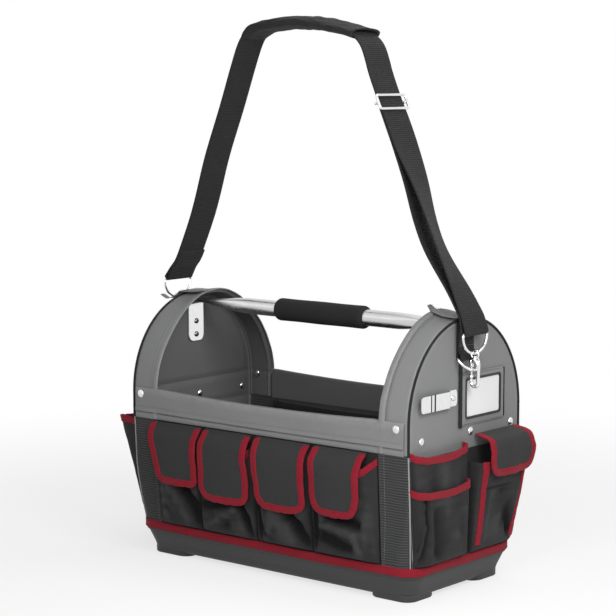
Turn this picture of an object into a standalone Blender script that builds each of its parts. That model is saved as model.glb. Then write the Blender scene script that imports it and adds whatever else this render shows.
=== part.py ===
"""Open tool bag: moulded base tub, sewn body with arched ends, outside pockets,
carrying tube and a shoulder strap on two swivel hooks.

Metres, +Z up, +X towards the end with the card holder, -Y the side with the four flap pockets.
The origin is the centre of the bottom.
"""
import math

import bmesh
import bpy
from mathutils import Matrix, Vector

# Body
LENGTH = 0.465
TOP_DEPTH = 0.240
BASE_DEPTH = 0.224
BAND_TOP = 0.2303
BAND_HEIGHT = 0.0413
SPRING_DROP = 0.0053
ARCH_RISE = 0.1245
BASE_CORNER = 0.028
TOP_CORNER = 0.006
CORNER_ABOVE_RIM = 0.010
CORNER_TAPER = 0.080
GAP = 0.0003
WALL = 0.0025
END_WALL = 0.003
GUSSET_WALL = 0.002
GUSSET_WIDTH = 0.045
GUSSET_FLARE = 0.005
GUSSET_TUCK = 0.004
BAND_SHEET = 0.0015
PIPING_RADIUS = 0.0015
MERGE_DISTANCE = 0.00001

# Base
TUB_RIM = 0.040
TUB_LIP_DEPTH = 0.006
TUB_BEND = 0.014
TUB_EDGE = 0.006
TUB_BOTTOM = 0.003
TUB_WALL = 0.003
TUB_FLOOR = 0.0065
TUB_TAPER = 0.009
TUB_EDGE_INSET = 0.013
TUB_BOTTOM_INSET = 0.019
FOOT_LENGTH = 0.060
FOOT_WIDTH = 0.052
FOOT_SINK = 0.0015
FOOT_FROM_CENTRE_X = 0.176
FOOT_FROM_CENTRE_Y = 0.062
FOOT_ROUND = 0.010
BOARD_THICKNESS = 0.0025
BOARD_MARGIN = 0.003
BINDING_WIDTH = 0.012
BINDING_BELOW_RIM = 0.0045
BINDING_OFFSET = 0.0009
BINDING_SHEET = 0.0014

# Pockets and flaps
POCKET_SHEET = 0.0015
POCKET_ABOVE_BINDING = 0.0007
POCKET_ROUND = 0.006
FRONT_POCKET_BELOW_BAND = 0.007
FRONT_POCKET_MOUTH_DROP = 0.019
FRONT_POCKET_LOW_DEPTH = 0.009
FRONT_POCKET_TOP_DEPTH = 0.0180
FRONT_POCKET_BULGE = 0.002
POCKET_SPAN = 0.372
POCKET_EDGE_SHARES = (0, 0.208, 0.468, 0.716, 1)
POCKET_SPACE = 0.002
LAST_POCKET_GUSSET = 0.022
FLAP_EDGE_SHARES = ((0.003, 0.204), (0.215, 0.452), (0.481, 0.707), (0.723, 0.930))
FLAP_LENGTH = 0.090
FLAP_LENGTH_SHARES = (0.865, 1.010, 0.985, 0.920)
FLAP_SHEET = 0.0016
FLAP_BELOW_BAND = 0.0032
FLAP_SEAT = 0.0013
FLAP_SHOULDER_DEPTH = 0.0165
FLAP_DEPTH = 0.0215
FLAP_SHOULDER_DROP = 0.0146
FLAP_BEND_DROP = 0.0266
FLAP_ROUND = 0.016
BACK_POCKETS = 3
BACK_POCKET_BELOW_BAND = 0.013
BACK_POCKET_LOW_DEPTH = 0.009
BACK_POCKET_TOP_DEPTH = 0.0215
INNER_POCKET_HALF = 0.178
INNER_POCKET_ABOVE_RIM = 0.006
INNER_POCKET_BELOW_BAND = 0.002
INNER_POCKET_DEPTH = 0.015
END_POCKET_OUTER = 0.108
END_POCKET_LOW_OUTER = 0.090
END_POCKET_MIDDLE = 0.016
END_POCKET_ABOVE_BAND = 0.003
END_POCKET_LOW_DEPTH = 0.0070
END_POCKET_TOP_DEPTH = 0.0165
LOWER_POCKET_STEP = 0.045
LOWER_POCKET_LOW_DEPTH = 0.0090
LOWER_POCKET_TOP_DEPTH = 0.0120
LEFT_POCKET_BELOW_BAND = 0.005
LEFT_POCKET_TOP_DEPTH = 0.0430
FLAP_POCKET_INNER = 0.004
FLAP_POCKET_OUTER = 0.108
FLAP_POCKET_BELOW_BAND = 0.023
FLAP_POCKET_TOP_DEPTH = 0.026
END_FLAP_INNER = 0.006
END_FLAP_OUTER = 0.113
END_FLAP_ABOVE_BAND = 0.0065
END_FLAP_LENGTH = 0.0495
END_FLAP_SHOULDER_DEPTH = 0.0270
END_FLAP_DEPTH = 0.0325
END_FLAP_SHOULDER_DROP = 0.012
END_FLAP_BEND_DROP = 0.024

# Handle
TUBE_RADIUS = 0.0108
TUBE_BELOW_CROWN = 0.0133
GRIP_RADIUS = 0.0152
GRIP_HALF = 0.0745
GRIP_ROUND = 0.004
PLATE_HALF_WIDTH = 0.0155
PLATE_THICKNESS = 0.003
PLATE_LENGTH = 0.0625
PLATE_DROP = 0.0065
PLATE_ROUND = 0.007
SCREW_HEIGHT_SHARES = (0.202, 0.612)
SCREW_RADIUS = 0.0038
SCREW_HEAD = 0.0022

# Card holder and tape clip
HOLDER_FRONT = -0.017
HOLDER_BACK = 0.082
HOLDER_BELOW_BAR = 0.021
HOLDER_HEIGHT = 0.067
WINDOW_SIDE_MARGIN = 0.014
WINDOW_BACK_MARGIN = 0.012
WINDOW_LOW_MARGIN = 0.011
WINDOW_TOP_MARGIN = 0.009
HOLDER_THICKNESS = 0.0029
CARD_THICKNESS = 0.0008
CARD_MARGIN = 0.004
CARD_LIFT = 0.0010
CLIP_ABOVE_HOLDER_BOTTOM = 0.0285
CLIP_WIDTH = 0.0205
CLIP_SHEET = 0.0012
CLIP_STAND = 0.0052
CLIP_FOOT_BACK = -0.0215
CLIP_FOOT_FRONT = -0.0370
CLIP_RISE_FRONT = -0.0430
CLIP_STEP_BACK = -0.0740
CLIP_STEP_FRONT = -0.0820
CLIP_STEP = 0.0012
CLIP_TIP = -0.0990
CLIP_RIVET_Y = -0.0295
CLIP_RIVET_RADIUS = 0.0036
CLIP_RIVET_HEIGHT = 0.0030

# Strap fittings
STRAP_Y = -0.006
RING_BAR_BELOW_CROWN = 0.0495
RING_WIRE = 0.0017
RING_HALF = 0.0195
RING_BAR_STAND = 0.0042
LOOP_SHEET = 0.0016
LOOP_CLEARANCE = 0.0005
LOOP_WIDTH = 0.034
LOOP_LENGTH = 0.045
RIGHT_RING_TILT = math.radians(40)
LEFT_RING_TILT = math.radians(100)
STRAP_RING_WIRE = 0.00175
STRAP_RING_HALF = 0.026
HOOK_WIRE = 0.0019
HOOK_HALF = 0.005
HOOK_SHOULDER = 0.0285
HOOK_CORNER = 0.003
HOOK_TIP = 0.008
BARREL_RADIUS = 0.0030
BARREL_LOW = 0.022
BARREL_TOP = 0.0313
BORE_RADIUS = 0.0018
BOLT_RADIUS = 0.0014
BOLT_TOP = 0.0262
KNOB_RADIUS = 0.0026
KNOB_HEIGHT = 0.0040
STEM_RADIUS = 0.0015
STEM_HEAD_RADIUS = 0.0024
STEM_HEAD_LOW = 0.0349
STEM_HEAD_TOP = 0.0362
COLLAR_RADIUS = 0.0033
COLLAR_HOLE = 0.0019
COLLAR_LOW = 0.0318
COLLAR_TOP = 0.0345
EYE_WIRE = 0.0014
EYE_HALF = 0.0054
EYE_SPRING = 0.0380
RING_SEAT_IN_HOOK = 0.0396
RIGHT_HOOK_SLACK = 0.0172

# Strap
STRAP_ABOVE_BAR = 0.417
LEFT_STRAND_SHARES = ((-1.075, 0.034), (-1.028, 0.083), (-0.959, 0.194), (-0.886, 0.320), (-0.800, 0.491),
                      (-0.680, 0.681), (-0.589, 0.831), (-0.533, 0.917), (-0.486, 0.957), (-0.409, 0.983))
PAD_STRETCH_SHARES = ((-0.301, 0.994), (-0.172, 1.000), (0, 0.997), (0.129, 0.983), (0.237, 0.969))
RIGHT_BEND_SHARES = ((0.318, 0.953), (0.374, 0.920), (0.409, 0.870), (0.434, 0.826))
DOUBLE_STRETCH_SHARES = ((0.519, 0.707), (0.609, 0.585), (0.688, 0.468), (0.751, 0.354), (0.817, 0.263),
                         (0.946, 0.146), (1.032, 0.073), (1.066, 0.034))
STRAP_WIDTH = 0.050
STRAP_SHEET = 0.0022
DOUBLE_SHEET = 0.0045
SLEEVE_RADIUS = 0.0043
PAD_WIDTH = 0.066
PAD_THICKNESS = 0.018
PAD_END_THICKNESS = 0.012
PAD_SLOT = 0.0032
SLIDER_HALF = 0.0300
SLIDER_BAR = 0.0015
SLIDER_SPREAD = 0.0085
SLIDER_PLACE_SHARE = 0.382

# Top tabs
TAB_SHEET = 0.0018
TAB_WIDTH = 0.038
TAB_TIP_WIDTH = 0.0200
TAB_SKEW = 0.0080
TAB_CURL = 0.0150
RIGHT_TAB_SHARES = ((-1.189, 1, 0, 0.40, 0), (-1.089, 1, 0, 0.12, 0), (-0.967, 1, 0.2, 0, 0),
                    (-0.489, 0.45, 0, 0, 0), (-0.089, 0, 1, 0, 0), (0.049, 0, 0.8, 0, 0))
LEFT_TAB_SHARES = ((-0.956, 1, 0, 0, 0), (-0.489, 0.45, 0, 0, 0), (-0.089, 0, 1, 0, 0),
                   (0.049, 0, 0.8, 0, 0.1), (0.133, 0, 0, -0.413, 0.55), (0.311, 0, 0, -0.833, 1),
                   (0.533, 0, 0, -1, 1), (0.756, 0, 0, -0.867, 1), (0.911, 0, 0, -0.567, 1))

HALF_LENGTH = LENGTH / 2
HALF_TOP = TOP_DEPTH / 2
HALF_BASE = BASE_DEPTH / 2
GUSSET_INNER = HALF_LENGTH - GUSSET_WIDTH
WALL_BOTTOM = TUB_RIM + GAP
TUB_LIP = TUB_RIM - TUB_LIP_DEPTH
CORNER_LOW = TUB_RIM + CORNER_ABOVE_RIM
CORNER_HIGH = CORNER_LOW + CORNER_TAPER
BINDING_LOW = TUB_RIM - BINDING_BELOW_RIM
BINDING_TOP = BINDING_LOW + BINDING_WIDTH
BAND_LOW = BAND_TOP - BAND_HEIGHT
SPRING_HEIGHT = BAND_TOP - SPRING_DROP
CROWN = SPRING_HEIGHT + ARCH_RISE
POCKET_LOW = BINDING_TOP + POCKET_ABOVE_BINDING
FRONT_POCKET_BACK_TOP = BAND_LOW - FRONT_POCKET_BELOW_BAND
FRONT_POCKET_FRONT_TOP = FRONT_POCKET_BACK_TOP - FRONT_POCKET_MOUTH_DROP
FLAP_TOP = BAND_LOW - FLAP_BELOW_BAND
BACK_POCKET_TOP = BAND_LOW - BACK_POCKET_BELOW_BAND
INNER_POCKET_LOW = TUB_RIM + INNER_POCKET_ABOVE_RIM
INNER_POCKET_TOP = BAND_LOW - INNER_POCKET_BELOW_BAND
END_POCKET_TOP = BAND_LOW + END_POCKET_ABOVE_BAND
LOWER_POCKET_TOP = END_POCKET_TOP - LOWER_POCKET_STEP
LEFT_POCKET_TOP = BAND_LOW - LEFT_POCKET_BELOW_BAND
FLAP_POCKET_TOP = BAND_LOW - FLAP_POCKET_BELOW_BAND
END_FLAP_TOP = BAND_LOW + END_FLAP_ABOVE_BAND
END_FLAP_BOTTOM = END_FLAP_TOP - END_FLAP_LENGTH
TUBE_HEIGHT = CROWN - TUBE_BELOW_CROWN
PLATE_TOP = CROWN - PLATE_DROP
PLATE_LOW = PLATE_TOP - PLATE_LENGTH
RING_BAR_HEIGHT = CROWN - RING_BAR_BELOW_CROWN
LOOP_TOP = RING_BAR_HEIGHT + LOOP_LENGTH
HOLDER_TOP = RING_BAR_HEIGHT - HOLDER_BELOW_BAR
HOLDER_BOTTOM = HOLDER_TOP - HOLDER_HEIGHT
CLIP_LOW = HOLDER_BOTTOM + CLIP_ABOVE_HOLDER_BOTTOM
CLIP_HIGH = CLIP_LOW + CLIP_WIDTH
STRAP_TOP = RING_BAR_HEIGHT + STRAP_ABOVE_BAR
RING_BAR_X = HALF_LENGTH + RING_BAR_STAND
ARCH_STEPS = 16
EDGE_ANGLE = math.radians(40)
BODY_MIDDLE = (0, 0, SPRING_HEIGHT * 2 / 3)
FRONT, BACK, LEFT, RIGHT = "front", "back", "left", "right"

COLOURS = {
    "grey_coated": ((0.22, 0.22, 0.22), 0.55, 0.0),
    "dark_coated": ((0.06, 0.06, 0.06), 0.6, 0.0),
    "black_fabric": ((0.022, 0.022, 0.022), 0.85, 0.0),
    "mesh_fabric": ((0.05, 0.05, 0.05), 0.8, 0.0),
    "red_binding": ((0.33, 0.012, 0.03), 0.7, 0.0),
    "black_cord": ((0.015, 0.015, 0.015), 0.6, 0.0),
    "tub_plastic": ((0.045, 0.045, 0.045), 0.5, 0.0),
    "board": ((0.03, 0.03, 0.03), 0.7, 0.0),
    "steel": ((0.55, 0.55, 0.55), 0.25, 1.0),
    "chrome": ((0.75, 0.75, 0.75), 0.12, 1.0),
    "foam": ((0.02, 0.02, 0.02), 0.8, 0.0),
    "webbing": ((0.02, 0.02, 0.02), 0.85, 0.0),
    "card": ((0.75, 0.75, 0.75), 0.6, 0.0),
    "black_plastic": ((0.03, 0.03, 0.03), 0.4, 0.0),
}


def clear_scene():
    for item in list(bpy.data.objects):
        bpy.data.objects.remove(item, do_unlink=True)


def new_collection(name):
    group = bpy.data.collections.new(name)
    bpy.context.scene.collection.children.link(group)
    return group


clear_scene()
PARTS = new_collection("tool_bag")
CUTTERS = new_collection("tool_bag_cutters")


def material(name):
    found = bpy.data.materials.get(name)
    if found:
        return found
    colour, roughness, metallic = COLOURS[name]
    made = bpy.data.materials.new(name)
    made.use_nodes = True
    shader = made.node_tree.nodes["Principled BSDF"]
    shader.inputs["Base Color"].default_value = (*colour, 1)
    shader.inputs["Roughness"].default_value = roughness
    shader.inputs["Metallic"].default_value = metallic
    return made


def place(name, data, finish, collection=None):
    item = bpy.data.objects.new(name, data)
    (collection or PARTS).objects.link(item)
    if finish:
        data.materials.append(material(finish))
    return item


def from_bmesh(name, shape, finish, collection=None, closed=True):
    if closed:
        bmesh.ops.recalc_face_normals(shape, faces=shape.faces)
    data = bpy.data.meshes.new(name)
    shape.to_mesh(data)
    shape.free()
    return place(name, data, finish, collection)


def smooth(item):
    """Round pieces are shaded smooth, with their real edges kept sharp."""
    item.data.shade_smooth()
    item.data.set_sharp_from_angle(angle=EDGE_ANGLE)
    return item


def as_cutter(item):
    item.hide_render = True
    item.display_type = "WIRE"
    return item


def cut(item, cutter, operation="DIFFERENCE", solver="EXACT"):
    step = item.modifiers.new(operation.lower(), "BOOLEAN")
    step.operation = operation
    step.solver = solver
    step.object = as_cutter(cutter)


def box(name, low, high, finish=None, collection=None):
    """A box between two corners, from a cube."""
    shape = bmesh.new()
    bmesh.ops.create_cube(shape, size=1)
    low = Vector(low)
    high = Vector(high)
    middle = (low + high) / 2
    for vert in shape.verts:
        vert.co = Vector(v * (h - l) for v, h, l in zip(vert.co, high, low)) + middle
    return from_bmesh(name, shape, finish, collection)


def rod(name, start, end, radius, finish=None, collection=None, sides=20, end_radius=None):
    """A cylinder or cone between two points."""
    start = Vector(start)
    end = Vector(end)
    turn = (end - start).to_track_quat("Z", "Y").to_matrix().to_4x4()
    shape = bmesh.new()
    bmesh.ops.create_cone(
        shape, cap_ends=True, segments=sides, radius1=radius,
        radius2=radius if end_radius is None else end_radius,
        depth=(end - start).length, matrix=Matrix.Translation((start + end) / 2) @ turn)
    return smooth(from_bmesh(name, shape, finish, collection))


def loft(name, rings, finish=None, collection=None):
    """A closed body through rings of points, with a flat cap at each end."""
    shape = bmesh.new()
    rows = [[shape.verts.new(point) for point in ring] for ring in rings]
    for low, high in zip(rows, rows[1:]):
        for i, vert in enumerate(low):
            j = (i + 1) % len(low)
            shape.faces.new((vert, low[j], high[j], high[i]))
    shape.faces.new(rows[0])
    shape.faces.new(rows[-1])
    return smooth(from_bmesh(name, shape, finish, collection))


def sheet(name, rows, thickness, finish, inside=BODY_MIDDLE, offset=-1.0):
    """A cloth or sheet-metal piece: an open grid with its outer side away from a point inside."""
    shape = bmesh.new()
    grid = [[shape.verts.new(point) for point in row] for row in rows]
    for low, high in zip(grid, grid[1:]):
        for i in range(len(low) - 1):
            shape.faces.new((low[i], low[i + 1], high[i + 1], high[i]))
    return thicken(name, shape, thickness, finish, inside, offset)


def thicken(name, shape, thickness, finish, inside, offset=-1.0):
    shape.normal_update()
    inside = Vector(inside)
    outward = sum(f.normal.dot(f.calc_center_median() - inside) * f.calc_area() for f in shape.faces)
    if outward < 0:
        bmesh.ops.reverse_faces(shape, faces=shape.faces)
    item = smooth(from_bmesh(name, shape, finish, closed=False))
    wall = item.modifiers.new("wall", "SOLIDIFY")
    wall.thickness = thickness
    wall.offset = offset
    wall.use_even_offset = True
    return item


def wire_curve(name, points, radius, closed=False, resolution=2):
    data = bpy.data.curves.new(name, "CURVE")
    data.dimensions = "3D"
    data.bevel_depth = radius
    data.bevel_resolution = resolution
    data.use_fill_caps = True
    line = data.splines.new("POLY")
    line.points.add(len(points) - 1)
    for target, point in zip(line.points, points):
        target.co = (*point, 1)
    line.use_cyclic_u = closed
    return data


def wire(name, points, radius, finish=None, closed=False, resolution=2):
    return place(name, wire_curve(name, points, radius, closed, resolution), finish)


def solid_wire(name, points, radius, finish=None, collection=None, resolution=2):
    """A wire turned into a welded mesh, so that it can be cut and joined."""
    curve = place(name + "_path", wire_curve(name, points, radius, False, resolution), None)
    bpy.context.view_layer.update()
    seen = curve.evaluated_get(bpy.context.evaluated_depsgraph_get())
    data = bpy.data.meshes.new_from_object(seen)
    shape = bmesh.new()
    shape.from_mesh(data)
    bmesh.ops.remove_doubles(shape, verts=shape.verts, dist=radius / 1000)
    item = smooth(from_bmesh(name, shape, finish, collection))
    item.matrix_world = curve.matrix_world
    bpy.data.objects.remove(curve, do_unlink=True)
    return item


def turned(name, profile, finish, matrix, closed, steps=24):
    """A turned body: (radius, height) points that run down the outer side."""
    shape = bmesh.new()
    verts = [shape.verts.new((radius, 0, height)) for radius, height in profile]
    for a, b in zip(verts, verts[1:]):
        shape.edges.new((a, b))
    if closed:
        shape.edges.new((verts[-1], verts[0]))
    item = from_bmesh(name, shape, finish, closed=False)
    spin = item.modifiers.new("turn", "SCREW")
    spin.steps = steps
    spin.render_steps = steps
    spin.use_smooth_shade = True
    spin.use_merge_vertices = True
    spin.merge_threshold = MERGE_DISTANCE
    item.matrix_world = matrix
    return item


def flat_plate(name, outline, half_thickness, matrix, finish):
    """A flat outline with a thickness, laid in place by a matrix."""
    data = bpy.data.curves.new(name, "CURVE")
    data.dimensions = "2D"
    data.fill_mode = "BOTH"
    data.extrude = half_thickness
    line = data.splines.new("POLY")
    line.points.add(len(outline) - 1)
    for target, point in zip(line.points, outline):
        target.co = (*point, 0, 1)
    line.use_cyclic_u = True
    item = place(name, data, finish)
    item.matrix_world = matrix
    return item


def share_between(value, low, high):
    return min(max((value - low) / (high - low), 0), 1)


def half_depth(z):
    """Half the body's depth at a height: it leans out from the base to the top band."""
    return HALF_BASE + (HALF_TOP - HALF_BASE) * share_between(z, TUB_RIM, BAND_LOW)


def corner_radius(z):
    """The upright corners are wide at the tub and tight higher up."""
    left = 1 - share_between(z, CORNER_LOW, CORNER_HIGH)
    return TOP_CORNER + (BASE_CORNER - TOP_CORNER) * left ** 1.5


def rounded_rect(half_x, half_y, radius, z, per_corner=7):
    points = []
    for quarter in range(4):
        sign_x = (1, -1, -1, 1)[quarter]
        sign_y = (1, 1, -1, -1)[quarter]
        for i in range(per_corner):
            angle = math.pi / 2 * (quarter + i / (per_corner - 1))
            x = sign_x * (half_x - radius) + radius * math.cos(angle)
            y = sign_y * (half_y - radius) + radius * math.sin(angle)
            points.append(Vector((x, y, z)))
    return points


def end_outline():
    """The edge of an end, front bottom over the arch to back bottom.

    Each place holds y, z, the inward direction, the corner radius and its share up the arch.
    """
    levels = [WALL_BOTTOM, CORNER_LOW]
    levels += [CORNER_LOW + (CORNER_HIGH - CORNER_LOW) * i / 4 for i in (1, 2, 3, 4)]
    levels += [BAND_LOW]
    front = [(-half_depth(z), z, 1, 0, corner_radius(z), 0) for z in levels]
    arch = []
    for i in range(ARCH_STEPS + 1):
        turn = math.pi * i / ARCH_STEPS
        y = -HALF_TOP * math.cos(turn)
        z = SPRING_HEIGHT + ARCH_RISE * math.sin(turn)
        normal = Vector((math.cos(turn) / HALF_TOP, -math.sin(turn) / ARCH_RISE)).normalized()
        arch.append((y, z, normal.x, normal.y, TOP_CORNER, turn / math.pi))
    back = [(-y, z, -ny, nz, r, 1) for y, z, ny, nz, r, s in reversed(front)]
    return front + arch + back


def corner_at(spot, angle, out=0.0, side=1):
    """A point on the rounded corner: angle 0 on the end face, a quarter turn on the band."""
    y, z, ny, nz, radius, share = spot
    x = HALF_LENGTH - radius + (radius + out) * math.cos(angle)
    inward = radius - (radius + out) * math.sin(angle)
    return Vector((side * x, y + ny * inward, z + nz * inward))


SEAM = math.pi / 4


def seam_gap(spot):
    return (GAP + GAP) / spot[4]


def arch_band(name, side):
    """The gusset that runs up the front, over the arch and down the back."""
    rows = []
    for spot in end_outline():
        y, z, ny, nz, radius, share = spot
        turn = math.pi * share
        flare = GUSSET_FLARE * math.sin(turn) ** 4 - GUSSET_TUCK * math.sin(2 * turn) ** 2
        row = []
        for part in (1, 0.5):
            x = HALF_LENGTH - radius - (GUSSET_WIDTH - radius) * part
            out = flare * part ** 1.5
            row.append(Vector((side * x, y - ny * out, z - nz * out)))
        for part in (1, 0.5, 0):
            angle = SEAM + seam_gap(spot) + (math.pi / 2 - SEAM - seam_gap(spot)) * part
            row.append(corner_at(spot, angle, side=side))
        rows.append(row)
    return sheet(name, rows, GUSSET_WALL, "grey_coated", inside=(side * GUSSET_INNER, 0, TUBE_HEIGHT / 2))


def end_panel(name, side):
    """The arched end: a flat face whose edge rolls round to the seam."""
    shape = bmesh.new()
    loops = []
    for part in (1, 0.5, 0):
        loops.append([shape.verts.new(corner_at(spot, (SEAM - seam_gap(spot)) * part, side=side))
                      for spot in end_outline()])
    for outer, inner in zip(loops, loops[1:]):
        for i in range(len(outer) - 1):
            shape.faces.new((outer[i], outer[i + 1], inner[i + 1], inner[i]))
    shape.faces.new(loops[-1])
    bmesh.ops.recalc_face_normals(shape, faces=shape.faces)
    return thicken(name, shape, END_WALL, "grey_coated", (0, 0, BAND_LOW))


def long_wall(name, side):
    half = GUSSET_INNER - GAP
    rows = [[Vector((x, side * half_depth(z), z)) for x in (-half, 0, half)]
            for z in (WALL_BOTTOM, BAND_LOW, BAND_TOP - BAND_SHEET - GAP)]
    return sheet(name, rows, WALL, "black_fabric")


def top_band(name, side):
    """The hem strip folded over the top edge of a long wall and riveted at its ends."""
    outer = HALF_TOP + GAP
    inner = HALF_TOP - WALL - GAP
    end = HALF_LENGTH - TOP_CORNER - GAP
    fold = GUSSET_INNER - GAP - GAP
    item = box(name, (-end, min(side * outer, side * (outer + BAND_SHEET)), BAND_LOW),
               (end, max(side * outer, side * (outer + BAND_SHEET)), BAND_TOP), "grey_coated")
    near = side * (outer + BAND_SHEET / 2)
    far = side * (inner - BAND_SHEET)
    lid = box(name + "_lid", (-fold, min(near, far), BAND_TOP - BAND_SHEET),
              (fold, max(near, far), BAND_TOP), None, CUTTERS)
    skirt = box(name + "_skirt", (-fold, min(side * inner, far), BAND_LOW),
                (fold, max(side * inner, far), BAND_TOP - BAND_SHEET / 2), None, CUTTERS)
    cut(item, lid, "UNION")
    cut(item, skirt, "UNION")
    return item


def base_tub():
    """The moulded tray with a lip under the binding and four feet."""
    def ring(inset, z, radius):
        return rounded_rect(HALF_LENGTH - inset, HALF_BASE - inset, radius, z)

    edge_radius = BASE_CORNER - TUB_EDGE_INSET / 2
    rings = [
        ring(TUB_BOTTOM_INSET, TUB_BOTTOM, edge_radius),
        ring(TUB_EDGE_INSET, TUB_EDGE, edge_radius),
        ring(TUB_TAPER, TUB_BEND, BASE_CORNER - TUB_TAPER / 2),
        ring(TUB_WALL / 2, TUB_LIP, BASE_CORNER),
        ring(0, TUB_LIP, BASE_CORNER),
        ring(0, TUB_RIM, BASE_CORNER),
        ring(TUB_WALL, TUB_RIM, BASE_CORNER - TUB_WALL),
        ring(TUB_WALL + TUB_WALL / 2, TUB_LIP, BASE_CORNER - TUB_WALL),
        ring(TUB_TAPER + TUB_WALL, TUB_BEND, BASE_CORNER - TUB_WALL - TUB_TAPER / 2),
        ring(TUB_BOTTOM_INSET, TUB_FLOOR, edge_radius - TUB_WALL),
    ]
    tub = loft("base_tub", rings, "tub_plastic")
    for sx in (-1, 1):
        for sy in (-1, 1):
            foot = rounded_rect(FOOT_LENGTH / 2, FOOT_WIDTH / 2, FOOT_ROUND, 0, 4)
            middle = Vector((sx * FOOT_FROM_CENTRE_X, sy * FOOT_FROM_CENTRE_Y, 0))
            top = Vector((0, 0, TUB_BOTTOM + FOOT_SINK))
            cutter = loft(f"foot_{sx}_{sy}", [[p + middle for p in foot], [p + middle + top for p in foot]],
                          None, CUTTERS)
            cut(tub, cutter, "UNION")
    return tub


def floor_board():
    inset = TUB_BOTTOM_INSET + BOARD_MARGIN
    low = TUB_FLOOR + GAP
    rings = [rounded_rect(HALF_LENGTH - inset, HALF_BASE - inset, BASE_CORNER - TUB_TAPER, z, 4)
             for z in (low, low + BOARD_THICKNESS)]
    return loft("floor_board", rings, "board")


def base_binding():
    """The tape that covers the joint of tub and body all the way round."""
    def ring(out, z):
        return rounded_rect(HALF_LENGTH + out, HALF_BASE + out, BASE_CORNER + out, z)

    near = BINDING_OFFSET
    far = BINDING_OFFSET + BINDING_SHEET
    shape = bmesh.new()
    rings = [ring(near, BINDING_LOW), ring(far, BINDING_LOW), ring(far, BINDING_TOP), ring(near, BINDING_TOP)]
    rows = [[shape.verts.new(point) for point in points] for points in rings]
    for low, high in zip(rows, rows[1:] + rows[:1]):
        for i, vert in enumerate(low):
            j = (i + 1) % len(low)
            shape.faces.new((vert, low[j], high[j], high[i]))
    return from_bmesh("base_binding", shape, "red_binding")


def on_side(side):
    """Places a point given along a side, out from its face and up."""
    def long_side(sign):
        return lambda u, out, z: Vector((u, sign * (half_depth(z) + out), z))

    def short_side(sign):
        return lambda u, out, z: Vector((sign * (HALF_LENGTH + out), u, z))

    return {FRONT: long_side(-1), BACK: long_side(1), LEFT: short_side(-1), RIGHT: short_side(1)}[side]


def pocket_front(depth, share, bulge):
    """How far a pocket's front stands off its seat: at its edges, and how much more in its middle."""
    return depth - POCKET_ROUND / 3, bulge * (0.4 + 0.6 * share)


def pocket_ring(lay, edges, front_edges, seat, depth, front, z_at):
    """One level of a pocket: its back edge on the wall and its front edge bowed out."""
    steps = 4
    side_share = 0.7
    points = [(edges[0], seat), (edges[1], seat)]
    points.append((edges[1] + (front_edges[1] - edges[1]) * side_share, seat + depth * side_share))
    for i in range(steps + 1):
        share = i / steps
        u = front_edges[1] + (front_edges[0] - front_edges[1]) * share
        points.append((u, seat + front[0] + front[1] * math.sin(math.pi * share)))
    points.append((edges[0] + (front_edges[0] - edges[0]) * side_share, seat + depth * side_share))
    return [lay(u, out, z_at(share_between(out, seat, seat + depth))) for u, out in points]


def pocket(name, side, edges, low, back_top, front_top, low_depth, top_depth, finish="black_fabric",
           seat=lambda z: GAP, bulge=FRONT_POCKET_BULGE, gusset=(0, 0), low_edges=None, inside=False):
    """A sewn pocket: sides, bottom and front, and a thin back against the wall, open at the top."""
    face = on_side(side)
    low_edges = low_edges or edges
    levels = 5

    def lay(u, out, z):
        return face(u, -WALL - out if inside else out, z)

    def ring(share, inset, lift=0.0):
        mid = low + (back_top - low) * share
        here = [a + (b - a) * share for a, b in zip(low_edges, edges)]
        depth = low_depth + (top_depth - low_depth) * share

        def height(out_share):
            top = back_top + (front_top - back_top) * out_share
            return low + lift + (top - low - lift) * share

        depth -= 2 * inset
        return pocket_ring(lay, (here[0] + inset, here[1] - inset),
                           (here[0] + inset + gusset[0] * share, here[1] - inset - gusset[1] * share),
                           seat(mid) + inset, depth, pocket_front(depth, share, bulge), height)

    outer = [ring(i / (levels - 1), 0) for i in range(levels)]
    inner = [ring(i / (levels - 1), POCKET_SHEET, POCKET_SHEET) for i in reversed(range(levels))]
    return loft(name, outer + inner, finish)


def flap(name, side, edges, top, bottom, profile, finish="black_fabric"):
    """A pocket flap that hangs from its top seam, with rounded lower corners."""
    lay = on_side(side)
    rows = []
    low, high = edges
    for out, drop_share, drop in profile:
        z = top - drop - (top - bottom) * drop_share
        above = z - bottom
        if above < FLAP_ROUND:
            tuck = FLAP_ROUND - math.sqrt(max(FLAP_ROUND ** 2 - (FLAP_ROUND - above) ** 2, 0))
        else:
            tuck = 0
        columns = 6
        rows.append([lay(low + tuck + (high - low - 2 * tuck) * i / columns, out, z)
                     for i in range(columns + 1)])
    item = sheet(name, rows, FLAP_SHEET, finish, offset=0.0)
    return item


def hinge_empty(name, place_at, children):
    pivot = bpy.data.objects.new(name, None)
    PARTS.objects.link(pivot)
    pivot.location = place_at
    pivot.empty_display_size = HOOK_SHOULDER
    bpy.context.view_layer.update()
    for child in children:
        child.parent = pivot
        child.matrix_parent_inverse = pivot.matrix_world.inverted()


def flap_profile(seat, shoulder, shoulder_drop, depth, bend_drop, top, bottom):
    """Rows of a flap: the bend over the pocket's mouth, then a nearly straight fall."""
    rows = [(seat, 0, 0), (seat + (shoulder - seat) * 0.4, 0, shoulder_drop * 0.35),
            (shoulder, 0, shoulder_drop), (depth, 0, bend_drop)]
    fall = top - bottom - bend_drop
    for share in (0.35, 0.7, 0.85, 0.95, 1.0):
        drop = bend_drop + fall * share
        rows.append((depth - seat * share, 0, drop))
    return rows


def along_span(share):
    return POCKET_SPAN * (share - 0.5)


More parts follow.
